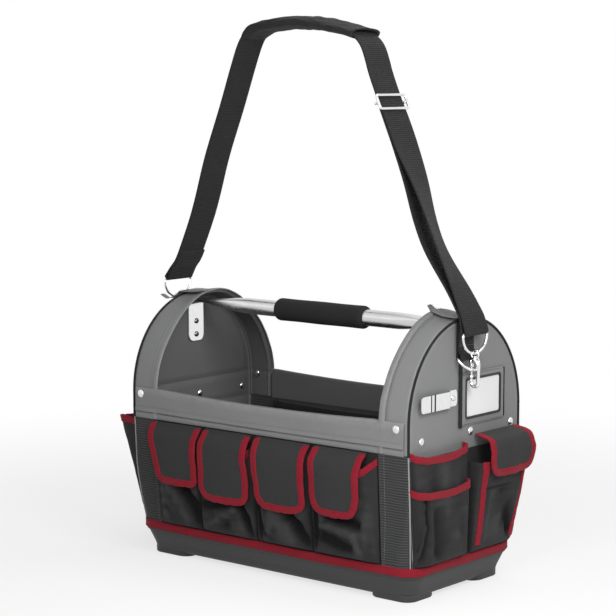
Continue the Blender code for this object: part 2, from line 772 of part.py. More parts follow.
def front_pockets():
    last = len(FLAP_EDGE_SHARES)
    for number, flap_shares in enumerate(FLAP_EDGE_SHARES, 1):
        edges = (along_span(POCKET_EDGE_SHARES[number - 1]) + POCKET_SPACE / 2,
                 along_span(POCKET_EDGE_SHARES[number]) - POCKET_SPACE / 2)
        gusset = (POCKET_SPACE, LAST_POCKET_GUSSET if number == last else POCKET_SPACE)
        pocket(f"front_pocket_{number}", FRONT, edges, POCKET_LOW, FRONT_POCKET_BACK_TOP,
               FRONT_POCKET_FRONT_TOP, FRONT_POCKET_LOW_DEPTH, FRONT_POCKET_TOP_DEPTH, gusset=gusset)
        bottom = FLAP_TOP - FLAP_LENGTH * FLAP_LENGTH_SHARES[number - 1]
        profile = flap_profile(FLAP_SEAT, FLAP_SHOULDER_DEPTH, FLAP_SHOULDER_DROP, FLAP_DEPTH,
                               FLAP_BEND_DROP, FLAP_TOP, bottom)
        flap_edges = [along_span(share) for share in flap_shares]
        cover = flap(f"front_flap_{number}", FRONT, flap_edges, FLAP_TOP, bottom, profile)
        seam = on_side(FRONT)(sum(flap_edges) / 2, FLAP_SEAT, FLAP_TOP)
        hinge_empty(f"front_flap_{number}_seam", seam, [cover])


def back_pockets():
    for number in range(BACK_POCKETS):
        edges = (along_span(number / BACK_POCKETS) + POCKET_SPACE / 2,
                 along_span((number + 1) / BACK_POCKETS) - POCKET_SPACE / 2)
        pocket(f"back_pocket_{number + 1}", BACK, edges, POCKET_LOW, BACK_POCKET_TOP, BACK_POCKET_TOP,
               BACK_POCKET_LOW_DEPTH, BACK_POCKET_TOP_DEPTH)


def inner_pocket():
    pocket("inner_pocket", BACK, (-INNER_POCKET_HALF, INNER_POCKET_HALF), INNER_POCKET_LOW,
           INNER_POCKET_TOP, INNER_POCKET_TOP, INNER_POCKET_DEPTH, INNER_POCKET_DEPTH, bulge=0, inside=True)


def end_pockets():
    front_top = (-END_POCKET_OUTER, -END_POCKET_MIDDLE)
    front_low = (-END_POCKET_LOW_OUTER, -END_POCKET_MIDDLE)

    def upper_face(z):
        share = share_between(z, POCKET_LOW, END_POCKET_TOP)
        depth = END_POCKET_LOW_DEPTH + (END_POCKET_TOP_DEPTH - END_POCKET_LOW_DEPTH) * share
        return GAP + sum(pocket_front(depth, share, FRONT_POCKET_BULGE)) + GAP

    pocket("right_upper_pocket", RIGHT, front_top, POCKET_LOW, END_POCKET_TOP, END_POCKET_TOP,
           END_POCKET_LOW_DEPTH, END_POCKET_TOP_DEPTH, low_edges=front_low)
    pocket("right_lower_pocket", RIGHT, front_top, POCKET_LOW, LOWER_POCKET_TOP, LOWER_POCKET_TOP,
           LOWER_POCKET_LOW_DEPTH, LOWER_POCKET_TOP_DEPTH, low_edges=front_low, seat=upper_face)
    pocket("left_open_pocket", LEFT, front_top, POCKET_LOW, LEFT_POCKET_TOP, LEFT_POCKET_TOP,
           END_POCKET_LOW_DEPTH, LEFT_POCKET_TOP_DEPTH, low_edges=front_low, bulge=0)
    profile = flap_profile(FLAP_SEAT, END_FLAP_SHOULDER_DEPTH, END_FLAP_SHOULDER_DROP, END_FLAP_DEPTH,
                           END_FLAP_BEND_DROP, END_FLAP_TOP, END_FLAP_BOTTOM)
    for side in (LEFT, RIGHT):
        pocket(f"{side}_flap_pocket", side, (FLAP_POCKET_INNER, FLAP_POCKET_OUTER), POCKET_LOW,
               FLAP_POCKET_TOP, FLAP_POCKET_TOP, END_POCKET_LOW_DEPTH, FLAP_POCKET_TOP_DEPTH,
               low_edges=(FLAP_POCKET_INNER, END_POCKET_LOW_OUTER))
        cover = flap(f"{side}_end_flap", side, (END_FLAP_INNER, END_FLAP_OUTER), END_FLAP_TOP,
                     END_FLAP_BOTTOM, profile)
        middle = (END_FLAP_INNER + END_FLAP_OUTER) / 2
        hinge_empty(f"{side}_end_flap_seam", on_side(side)(middle, FLAP_SEAT, END_FLAP_TOP), [cover])


def handle():
    end = HALF_LENGTH - END_WALL - GAP - PLATE_THICKNESS - GAP
    rod("handle_tube", (-end, 0, TUBE_HEIGHT), (end, 0, TUBE_HEIGHT), TUBE_RADIUS, "steel", sides=28)
    bore = TUBE_RADIUS + GAP
    profile = [(bore, GRIP_HALF), (GRIP_RADIUS - GRIP_ROUND, GRIP_HALF)]
    for i in range(1, 4):
        angle = math.pi / 2 * (1 - i / 3)
        profile.append((GRIP_RADIUS - GRIP_ROUND + GRIP_ROUND * math.cos(angle),
                        GRIP_HALF - GRIP_ROUND + GRIP_ROUND * math.sin(angle)))
    profile += [(radius, -height) for radius, height in reversed(profile)]
    turn = Matrix.Translation((0, 0, TUBE_HEIGHT)) @ Matrix.Rotation(math.pi / 2, 4, "Y")
    turned("handle_grip", profile, "foam", turn, closed=True)
    for side, word in ((-1, LEFT), (1, RIGHT)):
        half = PLATE_HALF_WIDTH
        middle = (PLATE_LOW + PLATE_TOP) / 2
        outline = []
        for point in rounded_rect(half, PLATE_TOP - middle, PLATE_ROUND, 0, 4):
            outline.append((point.x, middle + point.y))
        x = side * (HALF_LENGTH - END_WALL - GAP - PLATE_THICKNESS / 2)
        stand = Matrix(((0, 0, 1, x), (1, 0, 0, 0), (0, 1, 0, 0), (0, 0, 0, 1)))
        flat_plate(f"handle_plate_{word}", outline, PLATE_THICKNESS / 2, stand, "chrome")
        face = side * (HALF_LENGTH - END_WALL - GAP - PLATE_THICKNESS - GAP)
        for number, share in enumerate(SCREW_HEIGHT_SHARES, 1):
            z = PLATE_LOW + (TUBE_HEIGHT - TUBE_RADIUS - PLATE_LOW) * share
            rod(f"plate_screw_{word}_{number}", (face, 0, z), (face - side * SCREW_HEAD, 0, z),
                SCREW_RADIUS, "chrome", sides=14, end_radius=SCREW_RADIUS * 0.7)


def card_holder():
    """A sewn frame with a window; the card goes in from the back edge."""
    face = HALF_LENGTH + GAP
    front, back = HOLDER_FRONT + WINDOW_SIDE_MARGIN, HOLDER_BACK - WINDOW_BACK_MARGIN
    bottom, top = HOLDER_BOTTOM + WINDOW_LOW_MARGIN, HOLDER_TOP - WINDOW_TOP_MARGIN
    holder = box("card_holder", (face, HOLDER_FRONT, HOLDER_BOTTOM),
                 (face + HOLDER_THICKNESS, HOLDER_BACK, HOLDER_TOP), "black_plastic")
    card_face = face + CARD_LIFT
    overrun = HOLDER_THICKNESS
    slot = box("card_slot", (card_face - GAP, front - CARD_MARGIN, bottom - CARD_MARGIN),
               (card_face + CARD_THICKNESS + GAP, HOLDER_BACK + overrun, top + CARD_MARGIN), None, CUTTERS)
    window = box("card_window", (card_face, front, bottom), (face + HOLDER_THICKNESS + overrun, back, top),
                 None, CUTTERS)
    cut(holder, slot)
    cut(holder, window)
    margin = CARD_MARGIN - GAP
    box("card", (card_face, front - margin, bottom - margin),
        (card_face + CARD_THICKNESS, back + margin, top + margin), "card")


def tape_clip():
    """A sprung steel strip on a riveted foot, with a formed step near its free end."""
    seat = HALF_LENGTH + GAP + CLIP_SHEET / 2
    stand = seat + CLIP_STAND
    line = [(CLIP_FOOT_BACK, seat), (CLIP_FOOT_FRONT, seat), (CLIP_RISE_FRONT, stand),
            (CLIP_STEP_BACK, stand), (CLIP_STEP_BACK - CLIP_STEP, stand + CLIP_STEP),
            (CLIP_STEP_FRONT + CLIP_STEP, stand + CLIP_STEP), (CLIP_STEP_FRONT, stand), (CLIP_TIP, stand)]
    rows = [[Vector((x, y, CLIP_LOW)), Vector((x, y, CLIP_HIGH))] for y, x in line]
    clip = sheet("tape_clip", rows, CLIP_SHEET, "chrome", offset=0.0)
    middle = (CLIP_LOW + CLIP_HIGH) / 2
    rivet = rod("clip_rivet", (seat, CLIP_RIVET_Y, middle), (seat + CLIP_RIVET_HEIGHT, CLIP_RIVET_Y, middle),
                CLIP_RIVET_RADIUS, None, CUTTERS, 14, CLIP_RIVET_RADIUS * 0.6)
    cut(clip, rivet, "UNION")


def half_ring(half, steps):
    """A D outline in the plane across the strap: straight bar, then a half circle."""
    corner = half * 0.12
    points = [(half - corner, 0), (-half + corner, 0)]
    for i in range(steps + 1):
        angle = math.pi * i / steps
        y = -half * math.cos(angle)
        z = -corner - (half - corner) * math.sin(angle)
        points.append((y, z))
    return points


def strap_loops_and_rings():
    """The sewn loop on each end, over the arch, and the D ring in it."""
    for side, word, tilt in ((-1, LEFT, LEFT_RING_TILT), (1, RIGHT, RIGHT_RING_TILT)):
        bar = Vector((side * RING_BAR_X, STRAP_Y, RING_BAR_HEIGHT))
        points = []
        for y, z in half_ring(RING_HALF, 12):
            points.append(bar + Vector((side * -z * math.sin(tilt), y, z * math.cos(tilt))))
        ring = wire(f"d_ring_{word}", points, RING_WIRE, "chrome", closed=True)
        swivel_eye(word, side)
        hinge_empty(f"d_ring_{word}_bar", bar, [ring])
        sewn_loop(f"strap_loop_{word}", side)


def sewn_loop(name, side):
    """A webbing tab down the end panel that turns round the D ring's bar and up again."""
    inner = RING_WIRE + LOOP_CLEARANCE
    turn_radius = inner + LOOP_SHEET / 2
    near = HALF_LENGTH + GAP + LOOP_SHEET / 2
    line = [(near, LOOP_TOP), (near, RING_BAR_HEIGHT + turn_radius)]
    steps = 8
    for i in range(steps + 1):
        angle = math.pi + math.pi * i / steps
        line.append((RING_BAR_X + turn_radius * math.cos(angle),
                     RING_BAR_HEIGHT + turn_radius * math.sin(angle)))
    outer = RING_BAR_X + turn_radius
    meet = near + LOOP_SHEET + GAP
    line += [(outer, RING_BAR_HEIGHT + turn_radius), (meet, RING_BAR_HEIGHT + 3 * turn_radius),
             (meet, LOOP_TOP - LOOP_SHEET)]
    half = LOOP_WIDTH / 2
    rows = [[Vector((side * x, STRAP_Y - half, z)), Vector((side * x, STRAP_Y + half, z))] for x, z in line]
    sheet(name, rows, LOOP_SHEET, "webbing", offset=0.0)


def hook_centre(side):
    """The inside of a hook's bend: pulled up under the left ring, hanging slack in the right one."""
    tilt = RIGHT_RING_TILT if side > 0 else LEFT_RING_TILT
    drop = RIGHT_HOOK_SLACK if side > 0 else GAP
    height = RING_BAR_HEIGHT - RING_HALF * math.cos(tilt) - RING_WIRE - drop
    return Vector((side * (RING_BAR_X + RING_HALF * math.sin(tilt)), STRAP_Y, height))


def hook(word, side):
    """Swivel hook: a bent wire with a barrel for the sprung bolt, and a headed stem."""
    base = hook_centre(side)

    def at(x, z):
        return base + Vector((side * x, 0, z))

    centre = HOOK_HALF - HOOK_WIRE
    points = [at(-HOOK_HALF, HOOK_SHOULDER), at(0, HOOK_SHOULDER), at(HOOK_HALF - HOOK_CORNER, HOOK_SHOULDER)]
    points += [at(HOOK_HALF - HOOK_CORNER * 0.3, HOOK_SHOULDER - HOOK_CORNER * 0.3),
               at(HOOK_HALF, HOOK_SHOULDER - HOOK_CORNER)]
    for i in range(9):
        angle = math.pi * i / 8
        points.append(at(HOOK_HALF * math.cos(angle), centre - HOOK_HALF * math.sin(angle)))
    points.append(at(-HOOK_HALF, HOOK_TIP))
    item = solid_wire(f"hook_{word}", points, HOOK_WIRE, "chrome")
    barrel = rod(f"hook_{word}_barrel", at(-HOOK_HALF, BARREL_LOW), at(-HOOK_HALF, BARREL_TOP), BARREL_RADIUS,
                 None, CUTTERS, 16)
    stem = rod(f"hook_{word}_stem", at(0, HOOK_SHOULDER), at(0, STEM_HEAD_TOP - GAP), STEM_RADIUS,
               None, CUTTERS, 12)
    head = rod(f"hook_{word}_head", at(0, STEM_HEAD_LOW), at(0, STEM_HEAD_TOP), STEM_HEAD_RADIUS,
               None, CUTTERS, 12)
    overrun = HOOK_TIP / 4
    bore = rod(f"hook_{word}_bore", at(-HOOK_HALF, BARREL_LOW - overrun),
               at(-HOOK_HALF, BARREL_TOP + overrun), BORE_RADIUS, None, CUTTERS, 16)
    cut(item, barrel, "UNION")
    cut(item, stem, "UNION")
    cut(item, head, "UNION")
    cut(item, bore)
    knob_low = HOOK_TIP + GAP
    profile = [(0, BOLT_TOP), (BOLT_RADIUS, BOLT_TOP), (BOLT_RADIUS, knob_low + KNOB_HEIGHT),
               (KNOB_RADIUS, knob_low + KNOB_HEIGHT * 0.8), (KNOB_RADIUS, knob_low + KNOB_HEIGHT * 0.25),
               (BOLT_RADIUS, knob_low), (0, knob_low)]
    bolt = turned(f"hook_bolt_{word}", profile, "chrome", Matrix.Translation(at(-HOOK_HALF, 0)), False, 14)
    hinge_empty(f"hook_{word}_swivel", at(0, COLLAR_LOW), [item, bolt])


def swivel_eye(word, side):
    """The loop on the strap ring, whose collar turns on the hook's stem."""
    base = hook_centre(side)

    def at(x, z):
        return base + Vector((side * x, 0, z))

    foot = (COLLAR_RADIUS + COLLAR_HOLE) / 2
    collar_middle = (COLLAR_LOW + COLLAR_TOP) / 2
    points = [at(-foot, collar_middle), at(-foot - (EYE_HALF - foot) * 0.6, (collar_middle + EYE_SPRING) / 2)]
    for i in range(9):
        angle = math.pi * (1 - i / 8)
        points.append(at(EYE_HALF * math.cos(angle), EYE_SPRING + EYE_HALF * math.sin(angle)))
    points += [at(foot + (EYE_HALF - foot) * 0.6, (collar_middle + EYE_SPRING) / 2), at(foot, collar_middle)]
    item = solid_wire(f"swivel_eye_{word}", points, EYE_WIRE, "chrome")
    collar = rod(f"swivel_eye_{word}_collar", at(0, COLLAR_LOW), at(0, COLLAR_TOP), COLLAR_RADIUS,
                 None, CUTTERS, 16)
    hole = rod(f"swivel_eye_{word}_hole", at(0, COLLAR_LOW - HOOK_WIRE), at(0, COLLAR_TOP + GAP), COLLAR_HOLE,
               None, CUTTERS, 16)
    room = rod(f"swivel_eye_{word}_room", at(0, COLLAR_TOP), at(0, STEM_HEAD_TOP + HOOK_WIRE),
               STEM_HEAD_RADIUS + GAP, None, CUTTERS, 16)
    cut(item, collar, "UNION")
    cut(item, hole)
    cut(item, room)
    return item


def ring_bar(side):
    """The middle of a strap ring's bar, where the webbing turns round it."""
    return hook_centre(side) + Vector((0, 0, RING_SEAT_IN_HOOK + STRAP_RING_HALF))


def strap_rings():
    made = []
    for side, word in ((-1, LEFT), (1, RIGHT)):
        bar = ring_bar(side)
        points = [bar + Vector((0, y, z)) for y, z in half_ring(STRAP_RING_HALF, 14)]
        made.append(wire(f"strap_ring_{word}", points, STRAP_RING_WIRE, "chrome", closed=True))
    return made


def strap_points(shares, side):
    """Points of the strap's middle: shares of the half length out and of the way up from a ring's bar."""
    low = ring_bar(side).z
    return [Vector((HALF_LENGTH * x, 0, low + (STRAP_TOP - low) * z)) for x, z in shares]


def strap_line():
    middle = (strap_points(LEFT_STRAND_SHARES, -1) + strap_points(PAD_STRETCH_SHARES, -1)
              + strap_points(RIGHT_BEND_SHARES, 1) + strap_points(DOUBLE_STRETCH_SHARES, 1))
    ends = []
    for side in (-1, 1):
        bar = ring_bar(side)
        ends.append(Vector((bar.x, 0, bar.z + STRAP_RING_WIRE + GAP)))
    return [ends[0]] + middle + [ends[1]]


def side_of(line, i):
    """The direction across a line in the strap's plane, at one of its points."""
    before = line[max(i - 1, 0)]
    after = line[min(i + 1, len(line) - 1)]
    along = (after - before).normalized()
    return Vector((-along.z, 0, along.x))


def ribbon(name, line, width, thicknesses, finish, collection=None, squeeze=0.0):
    """A band along a line, with its width across the strap's plane."""
    rings = []
    for i, point in enumerate(line):
        out = side_of(line, i) * thicknesses[i] / 2
        half = Vector((0, width / 2, 0))
        near = Vector((0, width / 2 - squeeze, 0))
        middle = point + Vector((0, STRAP_Y, 0))
        if squeeze:
            rings.append([middle + half, middle + near + out, middle - near + out,
                          middle - half, middle - near - out, middle + near - out])
        else:
            rings.append([middle + half + out, middle - half + out, middle - half - out, middle + half - out])
    return loft(name, rings, finish, collection)


def strap():
    """One length of webbing: sewn round both ring bars and doubled below the slider."""
    line = strap_line()
    doubled = len(line) - len(DOUBLE_STRETCH_SHARES) - 1
    thick = [STRAP_SHEET if i < doubled else DOUBLE_SHEET for i in range(len(line))]
    item = ribbon("strap_webbing", line, STRAP_WIDTH, thick, "webbing")
    inner = STRAP_RING_WIRE + LOOP_CLEARANCE
    half = STRAP_RING_HALF * 0.82
    for side in (-1, 1):
        bar = ring_bar(side)
        reach = Vector((0, half, 0))
        over = Vector((0, STRAP_WIDTH, 0))
        sleeve = rod(f"strap_sleeve_{side}", bar - reach, bar + reach, SLEEVE_RADIUS, None, CUTTERS, 18)
        bore = rod(f"strap_bore_{side}", bar - over, bar + over, inner, None, CUTTERS, 18)
        cut(item, sleeve, "UNION")
        cut(item, bore)
    return item


def shoulder_pad():
    """A padded sleeve round the top of the strap, open at both ends."""
    under = 3
    line = (strap_points(LEFT_STRAND_SHARES[-under:], -1) + strap_points(PAD_STRETCH_SHARES, -1)
            + strap_points(RIGHT_BEND_SHARES[:1], 1))
    swell = [math.sin(math.pi * i / (len(line) - 1)) for i in range(len(line))]
    thick = [PAD_END_THICKNESS + (PAD_THICKNESS - PAD_END_THICKNESS) * s for s in swell]
    item = ribbon("shoulder_pad", line, PAD_WIDTH, thick, "black_fabric", squeeze=PAD_THICKNESS / 2)
    whole = strap_line()
    start = 1 + len(LEFT_STRAND_SHARES) - under
    stretch = whole[start - 2:start + len(line) + 2]
    slot_width = STRAP_WIDTH + PAD_SLOT - STRAP_SHEET
    slot = ribbon("pad_slot", stretch, slot_width, [PAD_SLOT] * len(stretch), None, CUTTERS)
    cut(item, slot)
    return item


def slider():
    """A wire frame: two bars over the webbing, one behind it and a rail past each edge."""
    top = strap_points(RIGHT_BEND_SHARES, 1)[-1]
    low = strap_points(DOUBLE_STRETCH_SHARES, 1)[1]
    middle = top.lerp(low, SLIDER_PLACE_SHARE) + Vector((0, STRAP_Y, 0))
    along = (low - top).normalized()
    out = Vector((-along.z, 0, along.x))
    rise = DOUBLE_SHEET / 2 + SLIDER_BAR + GAP
    reach = Vector((0, SLIDER_HALF, 0))
    edge = SLIDER_BAR * 1.3
    far = SLIDER_SPREAD + edge
    outline = ((-far, rise + edge), (-far, rise - edge), (-edge, -rise - edge),
               (edge, -rise - edge), (far, rise - edge), (far, rise + edge))
    rails = []
    for sign in (-1, 1):
        rings = [[middle + along * a + out * b + reach * sign + Vector((0, thick, 0)) for a, b in outline]
                 for thick in (-edge, edge)]
        rails.append(loft(f"slider_rail_{sign}", rings, None, CUTTERS))
    spots = [middle + along * step + out * lift
             for step, lift in ((-SLIDER_SPREAD, rise), (SLIDER_SPREAD, rise), (0.0, -rise))]
    item = rod("strap_slider", spots[0] - reach, spots[0] + reach, SLIDER_BAR, "chrome", sides=12)
    bars = [rod(f"slider_bar_{number}", spot - reach, spot + reach, SLIDER_BAR, None, CUTTERS, 12)
            for number, spot in enumerate(spots[1:], 2)]
    for piece in rails + bars:
        cut(item, piece, "UNION", "MANIFOLD")
    return item


def top_tab(word, side):
    """The coated strip over the crown of an arch; one of its ends has curled up."""
    seat = CROWN + GAP + TAB_SHEET / 2
    half = TAB_WIDTH / 2
    edge = HALF_LENGTH
    shares = RIGHT_TAB_SHARES if side > 0 else LEFT_TAB_SHARES
    line = [(edge + GUSSET_WIDTH * along,
             seat + GUSSET_FLARE * flare + PIPING_RADIUS * cord + TAB_CURL * curl, skew)
            for along, flare, cord, curl, skew in shares]
    rows = []
    for x, z, skew in line:
        front = STRAP_Y - half - skew * TAB_SKEW
        back = STRAP_Y + half - skew * (TAB_WIDTH - TAB_TIP_WIDTH + TAB_SKEW)
        rows.append([Vector((side * x, front, z)), Vector((side * x, back, z))])
    return sheet(f"top_tab_{word}", rows, TAB_SHEET, "grey_coated", inside=(side * edge, 0, 0), offset=0.0)


def piping(name, side):
    """The cord in the seam round an end."""
    points = [corner_at(spot, SEAM, PIPING_RADIUS + GAP, side) for spot in end_outline()]
    points[0].z += BINDING_TOP + GAP - WALL_BOTTOM
    points[-1].z += BINDING_TOP + GAP - WALL_BOTTOM
    return wire(name, points, PIPING_RADIUS, "black_cord", resolution=1)


def build():
    base_tub()
    floor_board()
    base_binding()
    long_wall("front_wall", -1)
    long_wall("back_wall", 1)
    top_band("front_top_band", -1)
    top_band("back_top_band", 1)
    for side, word in ((-1, LEFT), (1, RIGHT)):
        end_panel(f"{word}_end_panel", side)
        arch_band(f"{word}_arch_band", side)
        piping(f"{word}_piping", side)
        top_tab(word, side)
        hook(word, side)
    front_pockets()
    back_pockets()
    inner_pocket()
    end_pockets()
    handle()
    card_holder()
    tape_clip()
    strap_loops_and_rings()
    carried = strap_rings() + [strap(), shoulder_pad(), slider()]
    pivot = (ring_bar(-1) + ring_bar(1)) / 2
    hinge_empty("strap_pivot", pivot, carried)


build()
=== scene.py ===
"""Looks of the open tool bag: sewn cloth, bindings, webbing, metal and the studio round it."""
from math import atan2, copysign, cos, hypot, pi, radians, sin, sqrt

import bmesh
import bpy
import numpy as np
from mathutils import Matrix, Vector


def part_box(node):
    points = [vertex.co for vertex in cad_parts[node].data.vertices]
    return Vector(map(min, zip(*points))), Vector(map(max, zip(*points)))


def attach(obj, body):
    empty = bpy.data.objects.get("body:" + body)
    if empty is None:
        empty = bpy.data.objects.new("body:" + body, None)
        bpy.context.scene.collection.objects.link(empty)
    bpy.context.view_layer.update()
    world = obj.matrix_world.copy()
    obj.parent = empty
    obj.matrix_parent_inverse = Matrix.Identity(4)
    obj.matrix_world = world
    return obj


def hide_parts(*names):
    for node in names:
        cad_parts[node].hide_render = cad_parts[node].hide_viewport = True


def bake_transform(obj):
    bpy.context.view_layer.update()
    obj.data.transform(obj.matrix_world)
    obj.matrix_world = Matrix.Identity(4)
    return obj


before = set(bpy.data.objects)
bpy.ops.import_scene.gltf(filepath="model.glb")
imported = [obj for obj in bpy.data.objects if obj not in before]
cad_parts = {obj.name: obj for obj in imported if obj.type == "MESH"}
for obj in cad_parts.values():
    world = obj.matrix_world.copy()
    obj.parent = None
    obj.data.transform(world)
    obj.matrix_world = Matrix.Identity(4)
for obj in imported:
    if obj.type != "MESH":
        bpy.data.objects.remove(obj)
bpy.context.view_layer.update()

# Sizes taken from the frame
HALF_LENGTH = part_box("right_end_panel")[1].x
HALF_TOP = -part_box("front_wall")[0].y
HALF_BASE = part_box("base_tub")[1].y
BAND_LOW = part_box("front_top_band")[0].z
BAND_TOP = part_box("front_top_band")[1].z
RIM_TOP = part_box("base_tub")[1].z
BINDING_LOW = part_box("base_binding")[0].z
BINDING_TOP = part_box("base_binding")[1].z
GUSSET_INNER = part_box("right_arch_band")[0].x
POCKET_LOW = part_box("front_pocket_1")[0].z

# Shape of the body
SPRING_HEIGHT = 0.225
ARCH_RISE = 0.1245
BASE_CORNER = 0.028
TOP_CORNER = 0.006
CORNER_LOW = 0.050
CORNER_HIGH = 0.130
GUSSET_FLARE = 0.005
GUSSET_TUCK = 0.004
HEM_RISE = 0.0020
SEAM_RISE = 0.0003
GAP = 0.0003
SEAM = pi / 4
STRAP_Y = -0.006
SIDES = ((-1, "left"), (1, "right"))
FACES = ((-1, "front"), (1, "back"))
UP = Vector((0, 0, 1))

# Camera
CAMERA_PLACE = (1.656, -2.0363, 0.6564)
CAMERA_DOWN = 6.807
CAMERA_TURN = 39.533
CAMERA_LENS = 116.88
SENSOR = 36.0


def placed(name, data):
    item = bpy.data.objects.new(name, data)
    bpy.context.scene.collection.objects.link(item)
    return item


def make_camera():
    data = bpy.data.cameras.new("camera")
    data.lens = CAMERA_LENS
    data.sensor_width = SENSOR
    camera = placed("camera", data)
    camera.location = CAMERA_PLACE
    camera.rotation_euler = (radians(90 - CAMERA_DOWN), 0, radians(CAMERA_TURN))
    bpy.context.scene.camera = camera


make_camera()


# Node trees

class Nodes:
    """A node tree, with short words for what the finishes are made of."""

    def __init__(self, tree):
        self.tree = tree
        self.raised = None

    def feed(self, value, socket):
        """Gives a socket a number, a colour, an output or the first output of a node."""
        if isinstance(value, bpy.types.Node):
            value = value.outputs[0]
        if isinstance(value, bpy.types.NodeSocket):
            self.tree.links.new(value, socket)
        elif hasattr(value, "__len__") and len(value) == 3 and len(socket.default_value) == 4:
            socket.default_value = (*value, 1)
        else:
            socket.default_value = value

    def set(self, target, **settings):
        """Words with a capital are the node's sockets, the others its settings."""
        for name, value in settings.items():
            if name[0].isupper():
                self.feed(value, target.inputs[name.replace("_", " ")])
            else:
                setattr(target, name, value)
        return target

    def add(self, kind, **settings):
        return self.set(self.tree.nodes.new(kind), **settings)

    def math(self, operation, first, second, clamp=False):
        made = self.add("ShaderNodeMath", operation=operation, use_clamp=clamp)
        self.feed(first, made.inputs[0])
        self.feed(second, made.inputs[1])
        return made

    def times(self, first, second, clamp=False):
        return self.math("MULTIPLY", first, second, clamp)

    def between(self, share, low, high, **settings):
        """A number that goes from low to high as the share goes from 0 to 1."""
        return self.add("ShaderNodeMapRange", Value=share, To_Min=low, To_Max=high, **settings)

    def mixed(self, share, first, second):
        made = self.add("ShaderNodeMix", data_type="RGBA")
        for index, value in ((0, share), (6, first), (7, second)):
            self.feed(value, made.inputs[index])
        return made.outputs[2]

    def place(self):
        return self.add("ShaderNodeTexCoord").outputs["Object"]

    def cloud(self, size, detail=3.0, roughness=0.55, stretch=None):
        """Soft noise with blotches of a real size in metres, in the object's own space."""
        place = self.place()
        if stretch:
            place = self.add("ShaderNodeMapping", Vector=place, Scale=stretch)
        return self.add("ShaderNodeTexNoise", Vector=place, Scale=1 / size, Detail=detail,
                        Roughness=roughness)

    def cells(self, size):
        return self.add("ShaderNodeTexVoronoi", Vector=self.place(), Scale=1 / size)

    def cloth_axes(self):
        """Distances in metres across and along the cloth, from the piece's own map."""
        held = self.add("ShaderNodeUVMap", uv_map="cloth")
        return self.add("ShaderNodeSeparateXYZ", Vector=held).outputs[:2]

    def waves(self, distance, pitch):
        """A wave from -1 to 1 with a real pitch."""
        return self.math("SINE", self.times(distance, 2 * pi / pitch), 0.0)

    def weave(self, pitch):
        across, along = self.cloth_axes()
        return self.times(self.waves(across, pitch), self.waves(along, pitch))

    # Per-point tone: rubbed edges on coated cloth, painted shade in hollows on woven cloth
    def wear(self):
        return self.add("ShaderNodeAttribute", attribute_name="wear").outputs["Fac"]

    def seen(self):
        """1 for rays that look at a surface or through glass, 0 for rays that light the object."""
        light = self.add("ShaderNodeLightPath")
        straight = self.math("MAXIMUM", light.outputs["Is Camera Ray"], light.outputs["Is Glossy Ray"])
        return self.math("MAXIMUM", straight, light.outputs["Is Transmission Ray"])

    def bump(self, height, depth, strength):
        """Raises the surface, on top of the bumps given before."""
        made = self.add("ShaderNodeBump", Strength=strength, Distance=depth, Height=height)
        if self.raised:
            self.set(made, Normal=self.raised)
        self.raised = made

    def shade(self, colour, roughness, **inputs):
        """Gives the shader its colour, its roughness, its plain numbers and the bumps."""
        shader = self.tree.nodes["Principled BSDF"]
        self.set(shader, Base_Color=colour, Roughness=roughness, **inputs)
        if self.raised:
            self.set(shader, Normal=self.raised)
        return shader


# Finishes

def finish(kind, name, *values):
    made = bpy.data.materials.new(name)
    made.use_nodes = True
    kind(Nodes(made.node_tree), *values)
    return made


def tinted(colour, share):
    return [c * share for c in colour]


def coated_cloth(n, colour, pale, roughness=0.5):
    """Coated cloth: fine pebbled grain over a faint weave, paler where it is rubbed."""
    blotch, fine = n.cloud(0.09), n.cloud(0.004, 5)
    base = n.mixed(n.between(blotch, 0.15, 0.85), colour, tinted(colour, 0.86))
    base = n.mixed(n.times(fine, 0.22), base, pale)
    rubbed = n.times(n.wear(), n.between(n.cloud(0.012, 4), -0.2, 1.2), clamp=True)
    base = n.mixed(n.times(rubbed, 0.55), base, pale)
    n.bump(blotch, 0.0012, 0.25)
    n.bump(n.weave(0.0012), 0.00005, 0.35)
    n.bump(n.cells(0.0011), 0.00022, 0.5)
    n.shade(base, n.between(fine, roughness - 0.08, roughness + 0.12), Specular_IOR_Level=0.35)


def woven_cloth(n, colour, pale, pitch=0.0009):
    """Plain-woven polyester: crossing yarns, slubs and a soft sheen; painted shade darkens it where its
    attribute is below 0, and it is paler where the attribute is above 0.
    """
    weave, shade_and_wear = n.weave(pitch), n.wear()
    slub, blotch = n.cloud(0.0022, 2, stretch=(1, 1, 5)), n.cloud(0.06, 4)
    base = n.mixed(n.between(blotch, 0.1, 0.9), colour, tinted(colour, 0.72))
    base = n.mixed(n.between(weave, 0.0, 0.25), base, pale)
    base = n.mixed(n.times(slub, 0.2), base, pale)
    # Painted shade: darker where the attribute is below 0, in fold hollows and rib valleys
    base = n.mixed(n.times(shade_and_wear, -0.95, clamp=True), base, tinted(colour, 0.08))
    # Paler where the attribute is above 0, on raised folds and rib tops
    base = n.mixed(n.times(shade_and_wear, 0.7, clamp=True), base, tinted(pale, 1.5))
    n.bump(blotch, 0.002, 0.2)
    n.bump(weave, 0.00012, 0.55)
    n.shade(base, n.between(slub, 0.68, 0.88), Sheen_Weight=0.03, Sheen_Roughness=0.45,
            Specular_IOR_Level=0.18)


def ribbed_tape(n, colour, dark, pitch, depth=0.00018):
    """Tape or webbing with ribs across it, drawn yarns along it and a firm woven edge."""
    across, along = n.cloth_axes()
    wobble = n.times(n.cloud(0.01, 2), pitch * 0.5)
    rib = n.waves(n.math("ADD", along, wobble), pitch)
    yarn = n.waves(across, pitch * 0.55)
    blotch = n.cloud(0.03, 4)
    base = n.mixed(n.between(rib, 0.0, 1.0), dark, colour)
    base = n.mixed(n.between(blotch, 0.0, 0.5), base, tinted(colour, 0.7))
    n.bump(n.math("ADD", rib, n.times(yarn, 0.35)), depth, 0.8)
    n.shade(base, n.between(blotch, 0.62, 0.85), Sheen_Weight=0.05, Sheen_Roughness=0.4,
            Specular_IOR_Level=0.2)


